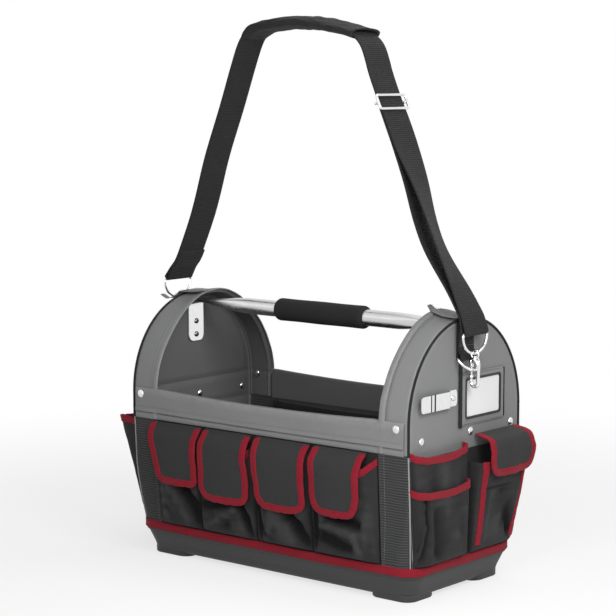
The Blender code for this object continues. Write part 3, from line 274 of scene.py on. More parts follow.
def moulded_plastic(n, colour, roughness=0.5, grain=0.0007):
    """Moulded plastic: spark-eroded grain, faint flow marks and dull scuffs."""
    flow, scuff = n.cloud(0.05, 3, stretch=(0.4, 0.4, 2)), n.cloud(0.006, 6, 0.7)
    base = n.mixed(flow, tinted(colour, 0.88), tinted(colour, 1.14))
    base = n.mixed(n.between(scuff, -0.35, 0.35), base, tinted(colour, 1.9))
    n.bump(n.cells(grain), 0.00012, 0.45)
    n.shade(base, n.between(scuff, roughness - 0.1, roughness + 0.15), Specular_IOR_Level=0.25)


def bright_metal(n, colour, roughness, brushed=None):
    """Plated or brushed steel: drawn lines or faint polishing marks, and a few dull spots."""
    spots = n.cloud(0.008, 5, 0.7)
    base = n.mixed(n.between(spots, 0.0, 0.6), colour, tinted(colour, 0.78))
    n.bump(n.cloud(0.0012, 3, stretch=brushed), 0.00002, 0.3)
    n.shade(base, n.between(spots, roughness * 0.6, roughness * 1.7), Metallic=1.0)


def foam_rubber(n, colour):
    """Closed-cell foam: pitted skin, matt, with pressed patches."""
    soft = n.cloud(0.02, 4)
    n.bump(soft, 0.001, 0.3)
    n.bump(n.cells(0.0012), 0.0004, 0.6)
    n.shade(n.mixed(soft, tinted(colour, 0.75), tinted(colour, 1.5)), n.between(soft, 0.75, 0.95),
            Specular_IOR_Level=0.2)


def plain_card(n, colour):
    """Stiff pale card behind a thin clear film."""
    fibre = n.cloud(0.0015, 5, 0.7)
    base = n.mixed(n.between(fibre, 0.0, 0.6), colour, tinted(colour, 0.9))
    n.bump(fibre, 0.00004, 0.4)
    n.shade(base, n.between(fibre, 0.35, 0.5), Coat_Weight=0.3)


GREY = finish(coated_cloth, "grey coated cloth", (0.186, 0.188, 0.189), (0.31,) * 3)
LINING = finish(coated_cloth, "dark lining", (0.120, 0.120, 0.121), (0.16,) * 3, 0.6)
BLACK = finish(woven_cloth, "black pack cloth", (0.020, 0.020, 0.021), (0.048, 0.048, 0.050))
FLAP_CLOTH = finish(woven_cloth, "black flap cloth", (0.030, 0.030, 0.031), (0.058, 0.058, 0.060))
INSIDE = finish(woven_cloth, "inside cloth", (0.062, 0.062, 0.063), (0.085, 0.085, 0.087))
RIB_CLOTH = finish(woven_cloth, "ribbed corner cloth", (0.034, 0.035, 0.036), (0.12,) * 3, 0.0021)
PAD_CLOTH = finish(woven_cloth, "black pad cloth", (0.020, 0.020, 0.021), (0.042, 0.042, 0.044), 0.0010)
RED = finish(ribbed_tape, "red edge tape", (0.33, 0.010, 0.026), (0.17, 0.005, 0.013), 0.0016)
BLACK_TAPE = finish(ribbed_tape, "black edge tape", (0.024,) * 3, (0.010,) * 3, 0.0014)
WEBBING = finish(ribbed_tape, "black webbing", (0.021, 0.021, 0.022), (0.010,) * 3, 0.0028, 0.0003)
CORD = finish(ribbed_tape, "black edge cord", (0.020,) * 3, (0.010,) * 3, 0.0015)
PALE_CORD = finish(ribbed_tape, "pale edge cord", (0.40,) * 3, (0.24,) * 3, 0.0015)
THREAD = finish(ribbed_tape, "grey thread", (0.20,) * 3, (0.10,) * 3, 0.0006)
DARK_THREAD = finish(ribbed_tape, "black thread", (0.016,) * 3, (0.008,) * 3, 0.0006)
RED_THREAD = finish(ribbed_tape, "red thread", (0.25, 0.012, 0.026), (0.14, 0.006, 0.012), 0.0006)
TUB = finish(moulded_plastic, "charcoal tub plastic", (0.046, 0.046, 0.047))
# Black plastic of the window rim; also painted shade in screw sockets and clip grooves
BLACK_PLASTIC_AND_SHADE = finish(moulded_plastic, "black frame plastic", (0.016,) * 3, 0.35)
BOARD = finish(moulded_plastic, "black floor board", (0.022,) * 3, 0.65, 0.002)
STEEL = finish(bright_metal, "satin steel tube", (0.66,) * 3, 0.26, (0.05, 1, 1))
SCREW_METAL = finish(bright_metal, "dark screws", (0.30,) * 3, 0.22)
CHROME = finish(bright_metal, "bright plate", (0.86, 0.86, 0.87), 0.10)
RIVET_METAL = finish(bright_metal, "nickel rivets", (0.80, 0.80, 0.79), 0.16)
FOAM = finish(foam_rubber, "black grip foam", (0.014,) * 3)
CARD = finish(plain_card, "pale card", (0.74,) * 3)

SEAM_BENDS = {}


def ride(item, *nodes, body="bag", slot=None):
    """Lets a piece ride its body; a flap's pieces stay unattached, where they are."""
    if body in SEAM_BENDS:
        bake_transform(item)
    else:
        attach(item, body)
    if nodes:
        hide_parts(*nodes)
    return item


# Meshes

CURVE_STEPS = 24
RIPPLE_SIZES = 3
RIPPLE_WAYS = 4


def mm(*rows):
    """Rows of millimetres as an array of metres."""
    return np.array(rows) / 1000


def change(item, work):
    """Runs some work on a piece's mesh."""
    shape = bmesh.new()
    shape.from_mesh(item.data)
    work(shape)
    shape.to_mesh(item.data)
    shape.free()


def shown(name, data, finishes):
    item = placed(name, data)
    for one in finishes if isinstance(finishes, (list, tuple)) else [finishes]:
        data.materials.append(one)
    return item


def smooth(data, sharp):
    data.shade_smooth()
    data.set_sharp_from_angle(angle=radians(sharp))


def worked_in(item, sharp=50):
    """The piece with its modifiers worked into its mesh, shaded smooth up to its real edges."""
    bpy.context.view_layer.update()
    graph = bpy.context.evaluated_depsgraph_get()
    data = bpy.data.meshes.new_from_object(item.evaluated_get(graph), preserve_all_data_layers=True,
                                           depsgraph=graph)
    item.modifiers.clear()
    item.data = data
    data.name = item.name
    smooth(data, sharp)
    return item


def modifier(item, kind, **settings):
    made = item.modifiers.new(kind.lower(), kind)
    for name, value in settings.items():
        setattr(made, name, value)
    return made


def running(points, axis=0):
    """Distances along one direction of a grid of points, averaged over the other, from 0."""
    steps = np.linalg.norm(np.diff(points, axis=axis), axis=2).mean(axis=1 - axis)
    return np.concatenate([[0], np.cumsum(steps)])


def grid(name, points, finishes, loop_across=False, loop_along=False, caps=False, wear=None):
    """A sheet or a tube through rows of points, with a map that holds real distances."""
    points = np.asarray(points, float)
    real_rows, real_columns = points.shape[:2]
    if loop_across:
        points = np.concatenate([points, points[:, :1]], axis=1)
    if loop_along:
        points = np.concatenate([points, points[:1]], axis=0)
    across, along = running(points, 1), running(points)
    index = np.arange(real_rows * real_columns).reshape(real_rows, real_columns).tolist()
    faces, places = [], []
    for r in range(len(points) - 1):
        low, high = index[r], index[(r + 1) % real_rows]
        for c in range(len(across) - 1):
            c2 = (c + 1) % real_columns
            faces.append((low[c], low[c2], high[c2], high[c]))
            places += [(across[c], along[r]), (across[c + 1], along[r]),
                       (across[c + 1], along[r + 1]), (across[c], along[r + 1])]
    if caps:
        for row, way in ((0, -1), (real_rows - 1, 1)):
            faces.append(index[row][::way])
            places += [(place, along[row]) for place in across[:real_columns][::way]]
    data = bpy.data.meshes.new(name)
    data.from_pydata(points[:real_rows, :real_columns].reshape(-1, 3).tolist(), [], faces)
    layer = data.uv_layers.new(name="cloth")
    layer.data.foreach_set("uv", np.array(places, np.float32).ravel())
    # Per-point tone: rubbed wear, and painted shade where it is below 0
    if wear is not None:
        held = data.attributes.new("wear", "FLOAT", "POINT")
        held.data.foreach_set("value", np.asarray(wear, np.float32).ravel())
    data.update()
    return shown(name, data, finishes)


def face_out(item, inside):
    """Turns an open sheet so that its outer side looks away from a point inside."""
    def turn(shape):
        middle = Vector(inside)
        outward = sum(face.normal.dot(face.calc_center_median() - middle) * face.calc_area()
                      for face in shape.faces)
        if outward < 0:
            bmesh.ops.reverse_faces(shape, faces=shape.faces)

    change(item, turn)


def cloth(name, points, finish, thickness, inside, *nodes, lining=None, offset=-1.0, wear=None, weld=False,
          body="bag"):
    """A sewn sheet with a real thickness; its lining side may have another finish."""
    item = grid(name, points, [finish, lining] if lining else finish, wear=wear)
    if weld:
        change(item, lambda shape: bmesh.ops.remove_doubles(shape, verts=shape.verts, dist=0.00002))
    face_out(item, inside)
    modifier(item, "SOLIDIFY", thickness=thickness, offset=offset, use_even_offset=True, thickness_clamp=1.0,
             material_offset=1 if lining else 0)
    return ride(worked_in(item, 60), *nodes, body=body)


def tube(name, rows, finish, sharp=50, ring=False):
    """A closed body through rows of points: with end caps, or as a ring that meets itself."""
    item = grid(name, rows, finish, loop_across=True, loop_along=ring, caps=not ring)
    change(item, lambda shape: bmesh.ops.recalc_face_normals(shape, faces=shape.faces))
    return worked_in(item, sharp)


def sweep(name, places, section, finish, *nodes, loop=False, body="bag"):
    """A section swept along a path: each place holds a point and the section's two directions."""
    rows = [[p + a * x + b * y for x, y in section] for p, a, b in places]
    return ride(tube(name, rows, finish, ring=loop), *nodes, body=body)


def join(name, items, *nodes, body="bag"):
    """Makes one piece of several plain ones that share a finish."""
    finishes = list(items[0].data.materials)
    shape = bmesh.new()
    for one in items:
        shape.from_mesh(one.data)
    data = bpy.data.meshes.new(name)
    shape.to_mesh(data)
    shape.free()
    for one in items:
        bpy.data.objects.remove(one, do_unlink=True)
    smooth(data, 50)
    return ride(shown(name, data, finishes), *nodes, body=body)


def arc(steps, start=0.0, end=pi):
    """Angles from start to end in equal steps."""
    return [start + (end - start) * i / steps for i in range(steps + 1)]


def circle(steps):
    return arc(steps, 0.0, 2 * pi)[:-1]


def squared(value, power):
    """Pulls a sine or cosine towards a square, with its sign kept."""
    return copysign(abs(value) ** power, value)


def round_section(radius, sides=12):
    return [(radius * cos(turn), radius * sin(turn)) for turn in circle(sides)]


def flat_section(low, high, half, rounding):
    """A thin rounded rectangle from low to high in one direction and half thick to each side."""
    rounding = min(rounding, half)
    corners = ((high - rounding, half - rounding), (low + rounding, half - rounding),
               (low + rounding, -half + rounding), (high - rounding, -half + rounding))
    return [(x + rounding * cos(turn), y + rounding * sin(turn)) for quarter, (x, y) in enumerate(corners)
            for turn in arc(3, pi / 2 * quarter, pi / 2 * (quarter + 1))]


def even_line(points, count):
    """Evenly spaced points on a line through many given ones."""
    fine = np.array(points, float)
    steps = running(fine[:, None, :])
    wanted = np.linspace(0, steps[-1], count)
    return np.stack([np.interp(wanted, steps, column) for column in fine.T], axis=1)


def smooth_line(points, count):
    """Evenly spaced points on a smooth curve through a few given ones."""
    points = [np.array(p, float) for p in points]
    padded = [2 * points[0] - points[1]] + points + [2 * points[-1] - points[-2]]
    fine = []
    for a, b, c, d in zip(padded, padded[1:], padded[2:], padded[3:]):
        for t in np.arange(CURVE_STEPS) / CURVE_STEPS:
            fine.append(0.5 * (2 * b + (c - a) * t + (2 * a - 5 * b + 4 * c - d) * t ** 2
                               + (3 * b - a - 3 * c + d) * t ** 3))
    fine.append(points[-1])
    return even_line(fine, count)


def evened(line, rounds):
    """Evens out the small steps between the middle points of a line."""
    line = np.array([tuple(p) for p in line])
    for _ in range(rounds):
        line[1:-1] = (line[:-2] + 2 * line[1:-1] + line[2:]) / 4
    return line


def directions(line, loop=False):
    """The direction of a line at each of its points."""
    count = len(line)
    if loop:
        ends = [(i - 1, (i + 1) % count) for i in range(count)]
    else:
        ends = [(max(i - 1, 0), min(i + 1, count - 1)) for i in range(count)]
    return [Vector(line[after] - line[before]).normalized() for before, after in ends]


def line_frames(points, facing):
    """Places along a line for a sweep: across it, and along the given facing direction."""
    places = []
    for point, along in zip(points, directions(points)):
        face = Vector(facing)
        face = (face - along * face.dot(along)).normalized()
        places.append((Vector(point), along.cross(face).normalized(), face))
    return places


def ripples(points, size, seed):
    """Smooth seeded waves from -1 to 1 over points in space, with wrinkles of a real size."""
    chance = np.random.RandomState(seed)
    total, weight, height = 0.0, 0.0, 1.0
    for _ in range(RIPPLE_SIZES):
        for _ in range(RIPPLE_WAYS):
            way = chance.normal(size=3)
            way /= np.linalg.norm(way)
            total = total + height * np.sin(points @ way * 2 * pi / size + chance.uniform(0, 2 * pi))
            weight += height
        size, height = size * 0.5, height * 0.5
    return total / weight * 2


def creases(x, y, folds, spread=1.0):
    """The height that folds give each place: rows of start, end, width and height in millimetres."""
    total = 0.0
    for x0, y0, x1, y1, width, height in mm(*folds):
        way = np.array((x1 - x0, y1 - y0))
        share = np.clip(((x - x0) * way[0] + (y - y0) * way[1]) / (way @ way), 0, 1)
        gap = np.hypot(x - x0 - way[0] * share, y - y0 - way[1] * share)
        total = total + height * np.exp(-(gap / (width * spread)) ** 2)
    return total


# Sewing

def new_tree(name, **inputs):
    """An empty node tree with a geometry input and output and named sizes."""
    tree = bpy.data.node_groups.new(name, "GeometryNodeTree")
    tree.interface.new_socket("Geometry", in_out="INPUT", socket_type="NodeSocketGeometry")
    for title, value in inputs.items():
        kind = "NodeSocketMaterial" if value is None else "NodeSocketFloat"
        made = tree.interface.new_socket(title, in_out="INPUT", socket_type=kind)
        if value is not None:
            made.default_value = value
    tree.interface.new_socket("Geometry", in_out="OUTPUT", socket_type="NodeSocketGeometry")
    n = Nodes(tree)
    return n, n.add("NodeGroupInput").outputs


def lay_out(n, points, shape, way, finish):
    """Lays a shape on points, its Z along a direction, makes it real and gives it its finish."""
    turn = n.add("FunctionNodeAlignRotationToVector", axis="Z", Vector=way)
    laid = n.add("GeometryNodeInstanceOnPoints", Points=points, Instance=shape, Rotation=turn)
    real = n.add("GeometryNodeRealizeInstances", Geometry=laid)
    last = n.add("GeometryNodeSetMaterial", Geometry=real, Material=finish)
    n.add("NodeGroupOutput", Geometry=last)
    return n.tree


def pressed_ball(n, segments, rings, radius, wide, high):
    ball = n.add("GeometryNodeMeshUVSphere", Segments=segments, Rings=rings, Radius=radius)
    size = n.add("ShaderNodeCombineXYZ", X=wide, Y=wide, Z=high)
    return n.add("GeometryNodeTransform", Geometry=ball, Scale=size)


def stitch_tree():
    """Capsules laid end to end along every line of a mesh."""
    n, sizes = new_tree("stitches", Pitch=0.003, Length=0.0022, Thickness=0.0006, Thread=None)
    curve = n.add("GeometryNodeMeshToCurve", Mesh=sizes["Geometry"])
    spaced = n.add("GeometryNodeResampleCurve", mode="LENGTH", Curve=curve, Length=sizes["Pitch"])
    capsule = pressed_ball(n, 6, 4, 0.5, sizes["Thickness"], sizes["Length"])
    return lay_out(n, spaced, capsule, n.add("GeometryNodeInputTangent"), sizes["Thread"])


def rivet_tree():
    """A domed head on a thin skirt at every point, turned along the point's facing."""
    n, sizes = new_tree("rivets", Radius=0.005, Dome=0.0022, Skirt=0.0006, Metal=None)
    head = pressed_ball(n, 28, 14, 1.0, sizes["Radius"], sizes["Dome"])
    skirt = n.add("GeometryNodeMeshCylinder", Vertices=28, Radius=n.times(sizes["Radius"], 1.06),
                  Depth=sizes["Skirt"])
    both = n.add("GeometryNodeJoinGeometry", Geometry=head)
    n.set(both, Geometry=skirt)
    facing = n.add("GeometryNodeInputNamedAttribute", data_type="FLOAT_VECTOR", Name="facing")
    domed = n.add("GeometryNodeSetShadeSmooth", Geometry=both)
    return lay_out(n, sizes["Geometry"], domed, facing, sizes["Metal"])


STITCHES = stitch_tree()
RIVETS = rivet_tree()
sewing = {}


def grown(name, data, tree, finish, **inputs):
    """Runs a node tree on a mesh and keeps the result as a plain mesh."""
    item = shown(name, data, [])
    work = modifier(item, "NODES", node_group=tree)
    for socket in tree.interface.items_tree:
        if socket.in_out == "INPUT" and socket.name in inputs:
            work[socket.identifier] = inputs[socket.name]
    worked_in(item)
    item.data.materials.clear()
    item.data.materials.append(finish)
    return item


def sew(line, offset=(0, 0, 0), body="bag", thread=THREAD):
    """Keeps a seam's line; all seams of one body and thread become one piece at the end."""
    sewing.setdefault((body, thread.name), []).append([tuple(Vector(p) + Vector(offset)) for p in line])


def finish_sewing():
    for (body, thread), lines in sewing.items():
        places, edges = [], []
        for line in lines:
            first = len(places)
            places += line
            edges += [(first + i, first + i + 1) for i in range(len(line) - 1)]
        data = bpy.data.meshes.new("seams")
        data.from_pydata(places, edges, [])
        made = bpy.data.materials[thread]
        name = f"{thread.replace(' ', '_')}_stitches_{body}"
        ride(grown(name, data, STITCHES, made, Thread=made), body=body)


def rivets(name, places, radius=0.0050, dome=0.0022):
    data = bpy.data.meshes.new(name)
    data.from_pydata([tuple(p) for p, _ in places], [], [])
    held = data.attributes.new("facing", "FLOAT_VECTOR", "POINT")
    held.data.foreach_set("vector", np.array([tuple(f) for _, f in places], np.float32).ravel())
    ride(grown(name, data, RIVETS, RIVET_METAL, Radius=radius, Dome=dome, Metal=RIVET_METAL))


# How far a tape folds past its edge, its rounding, and how far its seam keeps from its inner side
TAPE_PAST = 0.0012
TAPE_ROUNDING = 0.0011
TAPE_SEAM_INSET = 0.0017


def each(value, count):
    """A list with one direction for each place."""
    return value if len(value) == count else [Vector(value)] * count


def bind_edge(name, edge, inward, facing, width, half, finish=RED, body="bag", wander=0.0003, seed=1):
    """Tape folded over an edge and stitched down near its inner side."""
    count = len(edge)
    first, second = np.random.RandomState(seed).uniform(0, 2 * pi, 2)
    places = []
    for i, (point, into, face) in enumerate(zip(edge, each(inward, count), each(facing, count))):
        run = i / count * 2 * pi
        shift = wander * (sin(7 * run + first) + sin(13 * run + second))
        into = Vector(into).normalized()
        places.append((Vector(point) + into * shift, into, Vector(face).normalized()))
    sweep(name, places, flat_section(-TAPE_PAST, width, half, TAPE_ROUNDING), finish, body=body)
    inset = width - TAPE_SEAM_INSET
    for rise in (-half - 0.0001, half + 0.0001):
        sew([point + into * inset + face * rise for point, into, face in places], body=body,
            thread=RED_THREAD if finish is RED else DARK_THREAD)


# Body

PANEL_SHEET = 0.0026
SKIRT_SHEET = 0.0009
GUSSET_SHEET = 0.0018
CORNER_SHEET = 0.0014
WALL_SHEET = 0.0012
BAND_INNER = HALF_TOP + 0.0032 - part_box("back_top_band")[0].y + 0.0004
BAND_FOLD = GUSSET_INNER - 2 * GAP
BAND_SAG = 0.0042
SKIRT_TOP = 0.1830
SKIRT_OUT = 0.0013
RIB_PITCH = 0.0034
RIB_ROWS = 7
RIB_HEIGHT, RIB_SEAT = 0.0005, 0.0002
CORNER_COLUMNS = (0, 0.2, 0.4, 0.6, 0.8, 1.0)
GUSSET_COLUMNS = (0, 0.02, 0.10, 0.17, 0.185, 0.215, 0.235, 0.35, 0.5, 0.7, 0.92)
CORD_RADIUS, CORD_OUT = 0.0017, 0.0013
THIN_RADIUS, THIN_OUT = 0.0010, 0.0007
WRINKLE = 0.0004
WAVE = 0.0007
HEM_END = 0.18
GROOVE = (0.2, 0.22)
FLIPPED = Vector((1, -1, 1))
PANEL_PARTS = 36
PANEL_DENT = 0.0006
RUBBED = [1.0, 0.9, 0.6, 0.3, 0.1]

# Distance out from the band's base or lining and height, in millimetres, from its bottom or its top
BAND_LOWER = ((1.0, 0), (1.6, 0.8), (1.6, 7.5), (0.6, 8.4), (2.6, 9.0), (3.0, 10.2), (2.3, 16), (2.2, 23),
              (2.1, 30), (2.0, 36))
BAND_UPPER = ((1.7, -2.2), (1.0, -0.8), (0.2, 0))
BAND_OVER = ((0.4, 0), (-0.4, 0.3))
BAND_DOWN = ((0.8, 0.3), (0.2, -0.6), (0, -3), (0, -15), (0, -30))

# How freely each row of the band waves
BAND_LOOSE = (0.1, 0.2, 0.3, 0, 0.4, 0.6, 1, 1, 1, 0.8, 0.3, 0.1, 0)


def share_between(value, low, high):
    return np.clip((value - low) / (high - low), 0, 1)


def half_depth(z):
    """Half the body's depth at a height."""
    return HALF_BASE + (HALF_TOP - HALF_BASE) * share_between(z, RIM_TOP, BAND_LOW)


def corner_radius(z):
    left = 1 - share_between(z, CORNER_LOW, CORNER_HIGH)
    return TOP_CORNER + (BASE_CORNER - TOP_CORNER) * left ** 1.5


def upright_spots(low, high, count):
    """Places up the front edge of an end: y, z, the inward direction, the corner radius and 0."""
    return [(-half_depth(z), z, 1.0, 0.0, corner_radius(z), 0.0) for z in np.linspace(low, high, count)]


def arch_spots(count, end=1.0):
    """Places over the arch, from the front spring to a share of the way to the back one."""
    spots = []
    for share in np.linspace(0.0, end, count):
        turn = pi * share
        normal = Vector((cos(turn) / HALF_TOP, -sin(turn) / ARCH_RISE)).normalized()
        height = SPRING_HEIGHT + ARCH_RISE * sin(turn)
        spots.append((-HALF_TOP * cos(turn), height, *normal, TOP_CORNER, share))
    return spots


def whole_edge(low, upright, over):
    """Places up the front edge of an end, over the arch and down the back edge."""
    front = upright_spots(low, SPRING_HEIGHT - GAP, upright)
    back = [(-y, z, -ny, nz, radius, 1.0 - share) for y, z, ny, nz, radius, share in reversed(front)]
    return front + arch_spots(over) + back


def edge_point(spot, angle, out=0.0, side=1):
    """A point of the rounded edge of an end: angle 0 on its face, a quarter turn on the gusset."""
    y, z, ny, nz, radius, _ = spot
    x = HALF_LENGTH - radius + (radius + out) * cos(angle)
    inward = radius - (radius + out) * sin(angle)
    return Vector((side * x, y + ny * inward, z + nz * inward))


def panel_rows(spots, side, reach, out=0.0):
    """Rows across an end, from the seam on its front edge to the one on its back edge."""
    rows = []
    for spot in spots:
        front = [edge_point(spot, reach * part / 4, out, side) for part in (4, 3, 2, 1, 0)]
        back = [point * FLIPPED for point in reversed(front)]
        rows.append(front + [front[-1].lerp(back[0], i / PANEL_PARTS) for i in range(1, PANEL_PARTS)] + back)
    return np.array(rows)


def end_panel(side, word):
    """The arched end: coated outside, dark inside, rolled round to the seam at its edge."""
    spots = upright_spots(RIM_TOP + GAP, BAND_LOW, 34)
    spots += upright_spots(BAND_LOW + GAP, SPRING_HEIGHT - GAP, 8) + arch_spots(44, 0.5)
    points = panel_rows(spots, side, SEAM - 2 * GAP / TOP_CORNER)
    wear = [RUBBED + [0.0] * (PANEL_PARTS - 1) + RUBBED[::-1]] * len(spots)
    dent = 0.5 + 0.5 * ripples(points * [1, 1, 0.7], 0.11, 3 + side)
    low_share = share_between(points[:, :, 2], 0.0, SPRING_HEIGHT)
    points[:, 5:-5, 0] -= side * PANEL_DENT * (dent * low_share)[:, 5:-5]
    cloth(f"{word}_end_panel_sewn", points, GREY, PANEL_SHEET, (0, 0, BAND_LOW), f"{word}_end_panel",
          lining=LINING, wear=wear, weld=True)


def end_skirt(side, word):
    """Black cloth over the lower part of an end, behind its pockets."""
    spots = upright_spots(BINDING_TOP - 0.002, SKIRT_TOP, 44)
    points = panel_rows(spots, side, SEAM - 3 * GAP / TOP_CORNER, SKIRT_OUT)
    cloth(f"{word}_end_skirt", points, BLACK, SKIRT_SHEET, (0, 0, BAND_LOW))
    sew(points[-1][4:-4], (side * 0.0002, 0, -0.004), thread=DARK_THREAD)


def gusset_row(spot, side, columns=GUSSET_COLUMNS):
    """One row across an arch gusset, from its hemmed inner edge to the seam."""
    y, z, ny, nz, radius, share = spot
    turn = pi * share
    flare = GUSSET_FLARE * sin(turn) ** 4 - GUSSET_TUCK * sin(2 * turn) ** 2
    row, wear = [], []
    for part in columns:
        out = flare * (1 - part) ** 1.5
        if part < HEM_END:
            out += HEM_RISE * (0.6 if part == 0 else 1)
        elif GROOVE[0] < part < GROOVE[1]:
            out -= HEM_RISE * 0.5
        x = GUSSET_INNER + (HALF_LENGTH - radius - GUSSET_INNER) * part
        row.append(Vector((side * x, y - ny * out, z - nz * out)))
        wear.append(0.9 if part < HEM_END else 0.1)
    low = SEAM + 2 * GAP / radius
    for part in (1, 0.66, 0.33, 0):
        row.append(edge_point(spot, low + (pi / 2 - low) * part, side=side))
        wear.append(1.0 - part)
    return row, wear


def arch_gusset(side, word):
    """The coated band over each arch, down to the top bands on both sides."""
    rows, wear = zip(*(gusset_row(spot, side) for spot in whole_edge(BAND_LOW + 0.0012, 12, 90)))
    points = np.array(rows)
    outward = (points - [0, 0, SPRING_HEIGHT]) * [0, 1, 1]
    outward /= np.linalg.norm(outward, axis=2, keepdims=True)
    wrinkle = ripples(points, 0.05, 11 + side) * WRINKLE
    wrinkle[:, -4:] = 0
    points += outward * wrinkle[:, :, None]
    middle = (side * GUSSET_INNER, 0, SPRING_HEIGHT / 2)
    cloth(f"{word}_arch_gusset", points, GREY, GUSSET_SHEET, middle, f"{word}_arch_band", lining=LINING,
          wear=wear)
    for column in (2, 7):
        sew(points[:, column] + outward[:, column] * SEAM_RISE)


def corner_rib_cloth(side, word):
    """Ribbed cloth round the upright corners between the long walls and the ends."""
    count = int((BAND_LOW - RIM_TOP) / RIB_PITCH) * RIB_ROWS
    for sign, place in FACES:
        spots = upright_spots(RIM_TOP + GAP, BAND_LOW + 0.001, count)
        points = np.array([gusset_row(spot, side, CORNER_COLUMNS)[0] for spot in spots])
        rib = 0.5 + 0.5 * np.sin(points[:, :, 2] * 2 * pi / RIB_PITCH + 0.4 * np.sin(points[:, :, 0] * 300))
        points[:, :, 1] += RIB_HEIGHT * rib - RIB_SEAT
        points[:, :-4, 1] -= HEM_RISE * 0.2
        points[:, :, 1] *= -sign
        # Painted shade in the rib valleys, paler on the rib tops
        cloth(f"{word}_{place}_corner_cloth", points, RIB_CLOTH, CORNER_SHEET, (0, 0, 0.1), lining=INSIDE,
              wear=(0.9 * rib - 0.55) * (0.75 + 0.4 * ripples(points, 0.03, 41)))
        sew(points[::RIB_ROWS, 1], (0, sign * 2 * SEAM_RISE, 0))


def edge_cords(side, word):
    """Black cord in the arch seam; below the bands the seam shows a thin pale cord."""
    facing = (side, 0, 0)
    line = [edge_point(spot, SEAM, CORD_OUT, side) for spot in whole_edge(BAND_LOW, 14, 110)]
    sweep(f"{word}_arch_cord", line_frames(line, facing), round_section(CORD_RADIUS), CORD, f"{word}_piping")
    for sign, place in FACES:
        spots = upright_spots(BINDING_TOP - 0.002, BAND_LOW, 40)
        line = [edge_point(spot, SEAM, THIN_OUT, side) * Vector((1, -sign, 1)) for spot in spots]
        sweep(f"{word}_{place}_corner_cord", line_frames(line, facing), round_section(THIN_RADIUS, 10),
              PALE_CORD)


def band_rows(xs, sign, *profile):
    """Rows along a long wall's top, from distances off the bag's middle and heights, which sag."""
    out, z = np.concatenate(profile).T[:, :, None]
    sag = BAND_SAG * share_between(z, BAND_LOW, BAND_TOP) * np.clip(1 - (xs / (BAND_FOLD * 0.95)) ** 2, 0, 1)
    return np.stack(np.broadcast_arrays(xs, sign * out, z - sag), axis=2)


def top_band(sign, word):
    """The coated hem over a long wall's top edge: soft waves, and a narrow strip under it."""
    end = HALF_LENGTH - TOP_CORNER - GAP
    base = HALF_TOP + GAP
    low, high = mm(*BAND_LOWER) + [base, BAND_LOW], mm(*BAND_UPPER) + [base, BAND_TOP]
    outer = band_rows(np.linspace(-end, end, 150), sign, low, high)
    soft = ripples(outer * [1, 0, 1.4], 0.12, 21 + sign)
    free = share_between(GUSSET_INNER + 0.02 - np.abs(outer[:, :, 0]), 0, 0.05)
    outer[:, :, 1] += sign * WAVE * soft * free * np.array(BAND_LOOSE)[:, None]
    wear = np.zeros(outer.shape[:2])
    wear[-4:] = 0.8
    wear[4:6] = 0.5
    cloth(f"{word}_top_band_outer", outer, GREY, WALL_SHEET, (0, 0, BAND_LOW), f"{word}_top_band", wear=wear)
    for row in (2, 6):
        sew(outer[row][1:-1], (0, sign * SEAM_RISE, 0))
    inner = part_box("back_top_band")[0].y
    over, down = mm(*BAND_OVER) + [base, BAND_TOP], mm(*BAND_DOWN) + [inner, BAND_TOP]
    low = [(inner, BAND_LOW + 0.0005)]
    lining = band_rows(np.linspace(-BAND_FOLD, BAND_FOLD, 120), sign, over, down, low)
    cloth(f"{word}_top_band_inner", lining, LINING, WALL_SHEET, (0, sign * base, BAND_LOW - 0.05))


def long_wall(sign, word):
    half = GUSSET_INNER + 0.002
    z, x = np.meshgrid(np.linspace(RIM_TOP + GAP, BAND_TOP - 0.006, 44), np.linspace(-half, half, 90),
                       indexing="ij")
    points = np.stack([x, sign * (half_depth(z) - 0.0006), z], axis=2)
    points[:, :, 1] -= sign * (WAVE + WAVE * ripples(points, 0.08, 31 + sign))
    cloth(f"{word}_wall_cloth", points, BLACK, WALL_SHEET, (0, 0, 0.12), f"{word}_wall", lining=INSIDE)


# Base

CORNERS = ((1, 1), (-1, 1), (-1, -1), (1, -1))
FOOT = (0.033, 0.029)
FOOT_CORNER = 0.016
FOOT_INSET = 0.0125
ROLL = 0.0085
ROLL_SEAT = (0.0105, 0.0045, 0.0215)

# Height, pace and start of the waves in the tape round the base, and how far it stands off
TAPE_WAVES = ((0.0004, 0.21, 0), (0.0003, 0.083, 1))
TAPE_PROUD, PROUD_WAVE = 0.0013, (0.00015, 0.31)
TAPE_SEAM = 0.0016

# Inset, height and corner radius in millimetres, up the outside and down the inside
TUB_UNDER = ((60, 4.5, 12), (23, 4.5, 18.5), (19, 4.5, 21.5))
TUB_SIDE = ((9.8, 14.8, 21.5), (8, 18.925, 22.75), (6.2, 23.05, 24), (4.4, 27.175, 25.25),
            (3.176, 29.98, 26.1), (2.4, 32.5, 27), (0.6, 33.2, 28), (0, 34, 28), (0, 39.5, 28),
            (0.5, 40, 28), (2.5, 40, 25), (3, 39.5, 25), (4.2, 32, 25), (12, 16, 21.5), (14, 10, 21.5),
            (19, 6.6, 18.5), (60, 6.5, 12))
FOOT_LEVELS = ((3, 0), (1, 0.4), (0, 1.6), (0, 9), (3, 9.6))


def rounded_ring(half_x, half_y, radius, z, per_corner=12, per_side=10):
    """Points round a rectangle with round corners, from the start of the first corner."""
    corners = []
    for quarter, (sx, sy) in enumerate(CORNERS):
        middle = Vector((sx * (half_x - radius), sy * (half_y - radius), z))
        turns = arc(per_corner - 1, pi / 2 * quarter, pi / 2 * (quarter + 1))
        corners.append([middle + Vector((radius * cos(turn), radius * sin(turn), 0)) for turn in turns])
    points = []
    for corner, following in zip(corners, corners[1:] + corners[:1]):
        points += corner + [corner[-1].lerp(following[0], i / per_side) for i in range(1, per_side)]
    return points


